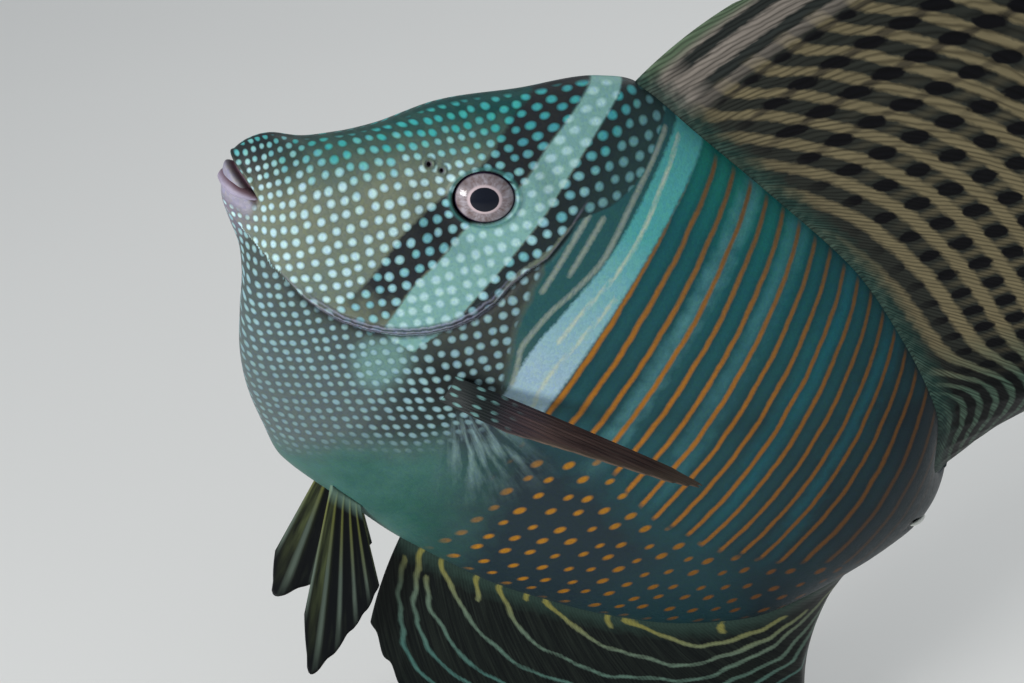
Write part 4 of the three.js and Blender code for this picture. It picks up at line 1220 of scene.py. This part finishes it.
def tail_finish():
    """Dark, with rows of small pale spots across the rays."""
    paint = Finish("tang_tail", FIN_GLOSS)
    part, out, phase, crest = paint.get("part out phase crest")
    streak = paint.noise((phase * 2.5, out * 0.05))
    near = paint.cells((phase * 1.1, out * 0.27 + (round(phase * 1.1) * 0.5).fraction()), 1.0, 0.3)
    colour = paint.layers(
        (0.012, 0.026, 0.03),
        ("streaks", (0.03, 0.05, 0.045), streak.step(-0.3, 0.7)),
        ("spots", (0.2, 0.28, 0.22), near.step(0.32, 0.2) * out.step(8, 14)),
        ("edge", (0.1, 0.2, 0.22), part.step(0.965, 0.985)),
    )
    strands = (phase * 3).wave()
    # Darkened in the grooves between the strands, where the bump is low: the fin's fine streaks deepened by painted
    # groove shade.
    colour = paint.shade(colour, strands * 0.35 + 0.75, 0.8)
    paint.bump(strands * 0.4 + crest * 0.6, 0.00012, 0.6)
    return paint.done(colour, streak * 0.05 + 0.45)


def pectoral_finish():
    """Brown purple with thin pale rays, darker and dotted at its fleshy base."""
    paint = Finish("tang_pectoral", FIN_GLOSS)
    t, part, out, phase, off_ray, crest = paint.get("t part out phase off_ray crest")
    streak = paint.noise((phase * 2.2, out * 0.06), detail=3)
    fine = paint.noise((phase * 6, out * 0.05, 3.0))
    mottle = paint.noise((phase, out * 0.4))
    near = paint.cells((phase * 0.36, out * 0.2 + mottle * 0.15), 1.0, 0.6)
    ray = (off_ray + fine * 0.1).step(0.2, 0.04) * out.step(14, 34) * streak.step(-0.5, 0.5)
    base = paint.layers(
        (0.012, 0.016, 0.016),
        ("base dots", (0.13, 0.27, 0.26), near.step(0.27, 0.12) * out.step(30, 12) * 0.85),
        ("base end", (0.03, 0.026, 0.04), (out + streak * 4).step(14, 26)),
    )
    colour = paint.layers(
        (0.018, 0.01, 0.012),
        ("streaks", (0.125, 0.072, 0.062), (streak + fine + t * 0.4).step(-0.4, 0.8)),
        ("rays", (0.11, 0.085, 0.072), ray * 0.55),
        ("pale tip", (0.11, 0.085, 0.06), (part + mottle * 0.04).step(0.8, 1.0) * 0.7),
        ("base", base, (out + streak * 5).step(32, 16)),
    )
    paint.bump(crest * 0.5 + fine * 0.5, 0.0001, 0.7)
    return paint.done(colour, mottle * 0.06 + 0.45)


def pelvic_finish():
    """Black membranes between pale green rays that whiten downwards."""
    paint = Finish("tang_pelvic", FIN_GLOSS)
    part, out, phase, off_ray, crest = paint.get("part out phase off_ray crest")
    streak = paint.noise((phase * 3, out * 0.06), detail=3)
    ray = (off_ray + streak * 0.06).step(0.2, 0.05) * (part + streak * 0.12).step(1.0, 0.78)
    stout = (phase + streak * 0.2).step(1.35, 0.9) * streak.step(-0.4, 0.5) * part.step(0.95, 0.5)
    pale = paint.mix((0.1, 0.11, 0.03), (0.075, 0.1, 0.08), out.step(10, 26))
    colour = paint.layers(
        (0.002, 0.003, 0.004),
        ("streaks", (0.014, 0.018, 0.012), streak.step(0.1, 0.9)),
        ("stout spine", (0.06, 0.075, 0.03), stout),
        ("rays", pale, ray),
        ("root", (0.12, 0.2, 0.16), out.step(6, 0)),
    )
    paint.bump(crest * 0.8 + streak * 0.2, 0.0002, 0.7)
    return paint.done(colour, streak * 0.05 + 0.45)


class TANG_OT_fins(bpy.types.Operator):
    """Spreads the dorsal, anal, tail, pectoral and pelvic fins"""

    bl_idname = "tang.fins"
    bl_label = "Fins"

    def execute(self, context):
        look = context.scene.tang
        for name, fin, outline, up, marks, kept, finish in (
            ("dorsal", DORSAL, top_at, 1, dorsal_marks, "spots", dorsal_finish),
            ("anal", ANAL, low_at, -1, anal_marks, "traces", anal_finish),
        ):
            place = middle_fin(fin, outline, up)
            mesh = fin_mesh(name, place, fin["rays"], fin["spines"], marks=marks, kept=kept)
            set_out(name, mesh, finish(look), "fin_" + name, name + "_fin")
        tail = fin_mesh("tail", tail_place, TAIL_RAYS, rows=48, root_half=0.9)
        set_out("tail", tail, tail_finish(), "fin_tail", "tail_fin")
        pectoral_skin, pelvic_skin = pectoral_finish(), pelvic_finish()
        for side, mirror, lean in (("left", 1, 0), ("right", -1, PELVIC_RIGHT_LEAN)):
            pectoral = fin_mesh(
                "pectoral_" + side, pectoral_place, PECTORAL_RAYS, rows=60, root_half=2.3, root_reach=20,
                rise=0.12, mirror=mirror,
            )
            set_out("pectoral_" + side, pectoral, pectoral_skin, "fin_pectoral", "pectoral_fin_" + side)
            place = pelvic_fin(lean)
            pelvic = fin_mesh("pelvic_" + side, place, PELVIC_RAYS, 1, rows=48, rise=0.4, mirror=mirror)
            set_out("pelvic_" + side, pelvic, pelvic_skin, "fin_pelvic", "pelvic_fin_" + side)
        return {"FINISHED"}


# Eyes, lip, tail spines and stand
def iris_finish():
    """Silver lavender iris with streaks round a dark pupil, under a clear gloss."""
    gloss = {"Roughness": 0.3, "Specular IOR Level": 0.15, "Coat Weight": 0.35, "Coat Roughness": 0.03}
    paint = Finish("tang_eye", gloss)
    x, y = paint.get("disc_x disc_y")
    reach = paint.length(x, y)
    angle = y.direction_over(x)
    swirl = paint.noise((angle * 2.2, reach * 0.5), detail=3)
    fine = paint.noise((angle * 9, reach * 0.8))
    blotch = paint.noise((x * 0.25, y * 0.25, 3.0), detail=1)
    colour = paint.layers(
        (0.13, 0.085, 0.08),
        ("silver streaks", (0.36, 0.33, 0.37), (swirl + fine * 0.7).step(-0.5, 0.6)),
        ("blotches", (0.045, 0.028, 0.026), (blotch + fine * 0.25).step(0.15, 0.75) * 0.8),
        ("pale ring", (0.5, 0.4, 0.42), abs(reach - 3.3).step(0.55, 0.15)),
        ("pupil", (0.001, 0.003, 0.01), (reach + fine * 0.05).step(3.12, 2.98)),
        ("dark rim", (0.02, 0.012, 0.03), (reach + fine * 0.1).step(5.95, 6.2)),
    )
    paint.bump(swirl * 0.6 + fine * 0.4, 0.00008, 0.25)
    return paint.done(colour)


def spun(bm, verts, edges, centre=(0, 0, 0)):
    """Turns a profile once round an upright axis."""
    bmesh.ops.spin(
        bm, geom=verts + edges, axis=(0, 0, 1), cent=centre, steps=64, angle=2 * math.pi, use_merge=True,
    )


class TANG_OT_eyes(bpy.types.Operator):
    """Sets a domed eye into each socket"""

    bl_idname = "tang.eyes"
    bl_label = "Eyes"

    def execute(self, context):
        finish = iris_finish()
        x, z = EYE_AT
        slope_x = float(side_at(x + 0.5, z) - side_at(x - 0.5, z))
        slope_z = float(side_at(x, z + 0.5) - side_at(x, z - 0.5))
        long_way = np.array([math.cos(EYE_SLANT), 0, math.sin(EYE_SLANT)])
        rise = EYE_DOME_RADIUS - math.sqrt(EYE_DOME_RADIUS ** 2 - EYE_RADIUS ** 2)
        leans = np.linspace(0, math.asin(EYE_RADIUS / EYE_DOME_RADIUS), 25)
        dome = [(EYE_DOME_RADIUS * math.sin(a), rise - EYE_DOME_RADIUS * (1 - math.cos(a))) for a in leans]
        for side, mirror in (("left", -1), ("right", 1)):
            middle = Vector((x, mirror * float(side_at(x, z)), z))
            normal = Vector((-slope_x, mirror, -slope_z * EYE_UPRIGHT)).normalized()
            turn = Vector((0, 0, 1)).rotation_difference(normal).to_matrix().to_4x4()
            place = Matrix.Translation(middle - normal * EYE_SINK) @ turn
            bm = bmesh.new()
            verts = [bm.verts.new((r, 0, h)) for r, h in dome + EYE_BACK]
            spun(bm, verts, [bm.edges.new(pair) for pair in zip(verts, verts[1:])])
            mesh = mesh_of(bm, "eye_" + side + "_ball")
            local = places_of(mesh)
            note(mesh, "disc", local[:, 0], local[:, 1] * mirror, 0)
            turned = np.array([place @ Vector(p) for p in local])
            turned += ((turned - middle) @ long_way)[:, None] * long_way * (EYE_STRETCH - 1)
            move_to(mesh, posed(turned))
            set_out("eyeball_" + side, closed(mesh), finish, "eye", "eye_" + side)
        return {"FINISHED"}


LIP_PATH = [(8.4, -7.0, 3.5), (6.2, -6.0, 2.8), (3.6, -4.3, 2.2), (1.7, -2.3, 2.3), (0.9, 0, 2.5)]
LIP_THICKNESS = [(0, 0.5), (0.3, 1.5), (0.6, 2.2), (1, 2.4)]
LIP_TILT = math.radians(20)
LIP_FLATNESS = 0.85


def lip_finish():
    """Pink white lip with faint wrinkles, darker pink on its inner half, deepened there by painted shade of the mouth.
    """
    paint = Finish("tang_lip", {"Roughness": 0.5, "Specular IOR Level": 0.35})
    along, around, height = paint.get("along around height")
    wrinkle = paint.noise((along * 14, around * 1.2), detail=3)
    cloud = paint.noise((along * 3, around * 1.5, 2.0))
    colour = paint.layers(
        (0.22, 0.18, 0.24),
        ("pale clouds", (0.36, 0.34, 0.45), (cloud + wrinkle * 0.5).step(-0.6, 0.6)),
        # The inner half takes the mouth's darker pink, deepened as painted shade inside the mouth.
        ("inner side with painted mouth shade", (0.12, 0.065, 0.08), (height + cloud * 0.3).step(0.1, 0.85)),
    )
    paint.bump(wrinkle, 0.00012, 0.5)
    return paint.done(colour)


class TANG_OT_lip(bpy.types.Operator):
    """Rolls the lower lip round the front of the mouth"""

    bl_idname = "tang.lip"
    bl_label = "Lower lip"

    def execute(self, context):
        bm = bmesh.new()
        bmesh.ops.create_grid(bm, x_segments=96, y_segments=28, size=0.5)
        mesh = mesh_of(bm, "lip")
        u, v = (places_of(mesh)[:, :2] + 0.5).T
        share = 1 - np.abs(2 * u - 1)
        run = np.linspace(0, 1, len(LIP_PATH))
        path = [Curve(list(zip(run, axis)))(share) for axis in zip(*LIP_PATH)]
        path[1] = path[1] * np.sign(0.5 - u)
        centre = np.stack(path, axis=1)
        radius = Curve(LIP_THICKNESS)(share) * np.sqrt(np.clip(share / 0.06, 0, 1))
        turn = 2 * math.pi * v
        out = centre * (1, 1, 0) - (9, 0, 0)
        out /= np.linalg.norm(out, axis=1, keepdims=True)
        rise = np.array([0, 0, 1.0])
        forward = out * math.cos(LIP_TILT) - rise * math.sin(LIP_TILT)
        upward = out * math.sin(LIP_TILT) + rise * math.cos(LIP_TILT)
        point = centre + forward * (radius * np.cos(turn))[:, None]
        point += upward * (radius * np.sin(turn) * LIP_FLATNESS)[:, None]
        note(mesh, "roll", u, v, np.sin(turn))
        move_to(mesh, posed(point))
        set_out("lower_lip", closed(mesh), lip_finish(), "lips", "jaw_lower")
        return {"FINISHED"}


def bone_finish():
    """Pale blade, whiter at its edge and browned at its root."""
    paint = Finish("tang_spine", {"Roughness": 0.3, "Coat Weight": 0.4, "Coat Roughness": 0.1})
    x, y, z = paint.get("x girth z")
    streak = paint.noise((x * 0.5, y * 6, z * 6), detail=3)
    colour = paint.layers(
        (0.4, 0.42, 0.36),
        ("pale streaks", (0.62, 0.66, 0.6), streak.step(-0.7, 0.7)),
        ("brown end", (0.2, 0.17, 0.12), (x + streak * 2).step(235, 239)),
    )
    paint.bump(streak, 0.00006, 0.5)
    return paint.done(colour, streak * 0.06 + 0.3)


class TANG_OT_tail_spines(bpy.types.Operator):
    """Folds a pointed spine into its groove on each side of the tail stem"""

    bl_idname = "tang.tail_spines"
    bl_label = "Tail spines"

    def execute(self, context):
        finish = bone_finish()
        for side, mirror in (("left", -1), ("right", 1)):
            bm = bmesh.new()
            bmesh.ops.create_grid(bm, x_segments=40, y_segments=24, size=0.5)
            mesh = mesh_of(bm, "spine_" + side)
            u, v = (places_of(mesh)[:, :2] + 0.5).T
            x = SPINE_START + SPINE_LENGTH * u
            half = SPINE_HALF * np.sqrt(np.clip(1 - (1 - u) ** 1.6, 0, 1) * np.clip((1 - u) / 0.12, 0, 1))
            turn = 2 * math.pi * v
            y = mirror * (side_at(x, SPINE_LEVEL) + half * SPINE_FLATNESS * np.cos(turn))
            z = SPINE_LEVEL + half * np.sin(turn) + SPINE_BOW * np.sin(math.pi * u)
            note(mesh, "place", x, y, z)
            move_to(mesh, posed(np.stack([x, y, z], axis=1)))
            set_out("scalpel_" + side, closed(mesh), finish, "spine_bone", "tail_spine_" + side)
        return {"FINISHED"}


BASE_SIZE = (190, 120, 12)
BASE_CORNER = 26
BASE_EDGE = 1.5
ROD_AT = (2, 7)
ROD_RADIUS = 3.5
ROD_SINK = 4
FERRULE_FLOOR = 12.3
FERRULE_PROFILE = [(3.8, 0), (9, 0), (9, 2), (8.4, 3), (5.6, 5.6), (5.3, 7), (3.8, 7)]


class TANG_OT_stand(bpy.types.Operator):
    """Makes the wooden base, the rod and its ferrule"""

    bl_idname = "tang.stand"
    bl_label = "Stand"

    def execute(self, context):
        bm = bmesh.new()
        bmesh.ops.create_cube(bm, size=1)
        size = Vector(BASE_SIZE) * MM
        bmesh.ops.scale(bm, vec=size, verts=bm.verts)
        bmesh.ops.translate(bm, vec=(0, 0, size.z / 2), verts=bm.verts)
        upright = [e for e in bm.edges if abs(e.verts[0].co.z - e.verts[1].co.z) > size.z / 2]
        self.bevel(bm, upright, BASE_CORNER, 20)
        flat = {e for face in bm.faces if abs(face.normal.z) > 0.9 for e in face.edges}
        self.bevel(bm, [e for e in bm.edges if e in flat], BASE_EDGE, 4)
        set_out("plinth", mesh_of(bm, "base"), wood_finish(), "stand_wood", "stand_base")
        steel = steel_finish()
        x, y = ROD_AT
        low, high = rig.box("stand_rod")
        tall = high.z + ROD_SINK * MM - low.z
        bm = bmesh.new()
        bmesh.ops.create_cone(
            bm, cap_ends=True, segments=48, radius1=ROD_RADIUS * MM, radius2=ROD_RADIUS * MM, depth=tall,
            matrix=Matrix.Translation((x * MM, y * MM, low.z + tall / 2)),
        )
        set_out("support_rod", mesh_of(bm, "rod"), steel, "stand_metal", "stand_rod")
        bm = bmesh.new()
        verts = [bm.verts.new(((x + r) * MM, y * MM, (FERRULE_FLOOR + h) * MM)) for r, h in FERRULE_PROFILE]
        edges = [bm.edges.new(pair) for pair in zip(verts, verts[1:] + verts[:1])]
        spun(bm, verts, edges, (x * MM, y * MM, 0))
        set_out("ferrule", closed(mesh_of(bm, "collar")), steel, "stand_metal", "stand_ferrule")
        return {"FINISHED"}

    @staticmethod
    def bevel(bm, edges, offset, segments):
        bmesh.ops.bevel(
            bm, geom=edges, offset=offset * MM, segments=segments, profile=0.5, affect="EDGES", material=-1,
        )


def wood_finish():
    """Dark stained wood under satin varnish, its grain along the base."""
    paint = Finish("stand_wood", {"Roughness": 0.35, "Coat Weight": 0.35, "Coat Roughness": 0.15})
    warp = paint.noise(paint.object_place(6, 55, 55), detail=3)
    rings = paint.noise(paint.object_place(3, 90, 90), 1.4, 4)
    pores = paint.noise(paint.object_place(60, 1500, 1500))
    colour = paint.layers(
        (0.028, 0.018, 0.013),
        ("rings", (0.085, 0.052, 0.034), (rings + warp * 0.4).step(-0.6, 0.7)),
        ("pores", (0.012, 0.008, 0.006), pores.step(0.25, 0.7) * 0.7),
    )
    paint.bump(pores * -0.6 + rings * 0.2, 0.00008, 0.5)
    return paint.done(colour, warp * 0.1 + 0.36)


def steel_finish():
    """Steel brushed round the rod."""
    paint = Finish("stand_steel", {"Metallic": 1.0})
    brushed = paint.noise(paint.object_place(40, 40, 6000), detail=3)
    smear = paint.noise(paint.object_place(), 60)
    colour = paint.mix((0.42, 0.42, 0.41), (0.68, 0.68, 0.66), (brushed + smear * 0.4).step(-0.8, 0.8))
    paint.bump(brushed, 0.00002, 0.5)
    return paint.done(colour, brushed * 0.12 + smear * 0.08 + 0.32)


def floor_finish(look):
    """Plain pale floor with a trace of cloud."""
    paint = Finish("studio_floor", {"Roughness": 0.85})
    cloud = paint.noise(paint.object_place(), 3, 3)
    return paint.done(paint.shade(look.floor_colour, cloud.step(-1.2, 1.2) * 0.06 + 0.95, 1.0))


# Camera, floor and light
CAMERA_AT = (-0.0907, -0.3982, 0.4406)
CAMERA_RIGHT = (0.9826, -0.1860, 0)
CAMERA_AHEAD = (0.1587, 0.8388, -0.5208)
FLOOR_HALF = 4
SKY_COLOUR = (0.9, 0.95, 1, 1)
LIT_POINT = Vector((0, 0, 0.2))
KEY_LAMP = {"at": (-0.93, -0.66, 0.42), "size": 0.34, "spread": math.radians(120)}
REAR_LAMP = {"at": (0.6, 0.5, 1.1), "size": 0.8, "spread": math.pi}


def put_in_scene(name, data):
    item = bpy.data.objects.new(name, data)
    bpy.context.scene.collection.objects.link(item)
    return item


class TANG_OT_stage(bpy.types.Operator):
    """Sets the camera, the floor and the studio light"""

    bl_idname = "tang.stage"
    bl_label = "Stage"

    def execute(self, context):
        scene, look = context.scene, context.scene.tang
        lens = bpy.data.cameras.new("camera")
        lens.lens = look.lens
        lens.sensor_width = 36
        lens.clip_start = 0.01
        scene.camera = put_in_scene("camera", lens)
        scene.camera.location = CAMERA_AT
        right, ahead = Vector(CAMERA_RIGHT).normalized(), Vector(CAMERA_AHEAD).normalized()
        turn = Matrix((right, right.cross(ahead), -ahead)).transposed()
        scene.camera.rotation_euler = turn.to_euler()
        bm = bmesh.new()
        bmesh.ops.create_grid(bm, x_segments=1, y_segments=1, size=FLOOR_HALF)
        floor = put_in_scene("floor", mesh_of(bm, "floor"))
        floor.data.materials.append(floor_finish(look))
        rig.stage(floor)
        scene.view_settings.view_transform = "Standard"
        scene.world = bpy.data.worlds.new("studio")
        scene.world.use_nodes = True
        sky = scene.world.node_tree.nodes["Background"].inputs
        sky["Color"].default_value = SKY_COLOUR
        sky["Strength"].default_value = look.fill_light
        for name, lamp, power in (("key", KEY_LAMP, look.key_light), ("rear", REAR_LAMP, look.rear_light)):
            light = bpy.data.lights.new(name, "AREA")
            light.energy = power
            light.size = lamp["size"]
            light.spread = lamp["spread"]
            place = Vector(lamp["at"])
            item = put_in_scene(name, light)
            item.location = place
            item.rotation_euler = (LIT_POINT - place).to_track_quat("-Z", "Y").to_euler()
        return {"FINISHED"}


def amount(name, description, default, **more):
    return FloatProperty(name=name, description=description, default=default, min=0, **more)


def tone(name, description, default):
    return FloatVectorProperty(
        name=name, description=description, default=default, subtype="COLOR", size=3, min=0, max=1,
    )


class TangLook(bpy.types.PropertyGroup):
    """Sizes and colours that a user would change"""

    lens: amount("Lens", "Focal length of the camera", 62.77, unit="CAMERA")
    key_light: amount("Key light", "Power of the lamp in front", 5.395, unit="POWER")
    rear_light: amount("Rear light", "Power of the lamp behind", 5.85, unit="POWER")
    fill_light: amount("Fill light", "Strength of the even light", 0.42)
    dot_size: amount("Dot size", "Radius of a head dot over its spacing", 0.245, subtype="FACTOR", max=0.5)
    line_width: amount("Line width", "Half width of a line of the flank in millimetres", 0.68)
    scale_density: amount("Scales", "Fine scales along a millimetre", 1.5)
    floor_colour: tone("Floor", "Colour of the studio floor", (0.76, 0.76, 0.74))
    head_ground: tone("Head", "Ground of the head between its dots", (0.15, 0.17, 0.12))
    head_dots: tone("Head dots", "Dots of the head", (0.42, 0.62, 0.65))
    mint_bar: tone("Mint bar", "Pale bar behind the eye", (0.165, 0.33, 0.31))
    dark_bar: tone("Dark bars", "Dark bars through and behind the eye", (0.016, 0.019, 0.021))
    blue_band: tone("Blue band", "Pale band behind the gill cover", (0.07, 0.33, 0.33))
    trunk_ground: tone("Trunk", "Ground of the flank between its lines", (0.012, 0.068, 0.078))
    line_orange: tone("Lines", "Lines of the flank", (0.33, 0.13, 0.014))
    orange_dots: tone("Flank dots", "Dots under the lines of the flank", (0.34, 0.15, 0.012))
    fin_tan: tone("Dorsal bands", "Tan bands of the dorsal fin", (0.15, 0.125, 0.07))
    anal_line: tone("Anal fin lines", "Lines of the anal fin at its root", (0.2, 0.19, 0.05))


class TANG_PT_panel(bpy.types.Panel):
    """Lists the pieces of the fish and its stage"""

    bl_idname = "TANG_PT_panel"
    bl_label = "Sailfin tang"
    bl_space_type = "VIEW_3D"
    bl_region_type = "UI"
    bl_category = "Tang"

    def draw(self, context):
        for value in TangLook.__annotations__:
            self.layout.prop(context.scene.tang, value)
        for operator in OPERATORS:
            self.layout.operator(operator.bl_idname)


OPERATORS = [
    TANG_OT_stage, TANG_OT_skin, TANG_OT_lip, TANG_OT_eyes, TANG_OT_fins, TANG_OT_tail_spines, TANG_OT_stand,
]
CLASSES = [TangLook, *OPERATORS, TANG_PT_panel]


def register():
    for cls in CLASSES:
        bpy.utils.register_class(cls)
    bpy.types.Scene.tang = PointerProperty(type=TangLook)


def unregister():
    del bpy.types.Scene.tang
    for cls in reversed(CLASSES):
        bpy.utils.unregister_class(cls)


def main():
    register()
    for operator in OPERATORS:
        getattr(bpy.ops.tang, operator.bl_idname.removeprefix("tang."))()
    visual_box = [list(corner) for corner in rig.bounds()]
    with open("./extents.json", "w") as file:
        json.dump({"cad": CAD_BOX, "visual": visual_box}, file)


if __name__ == "__main__":
    main()
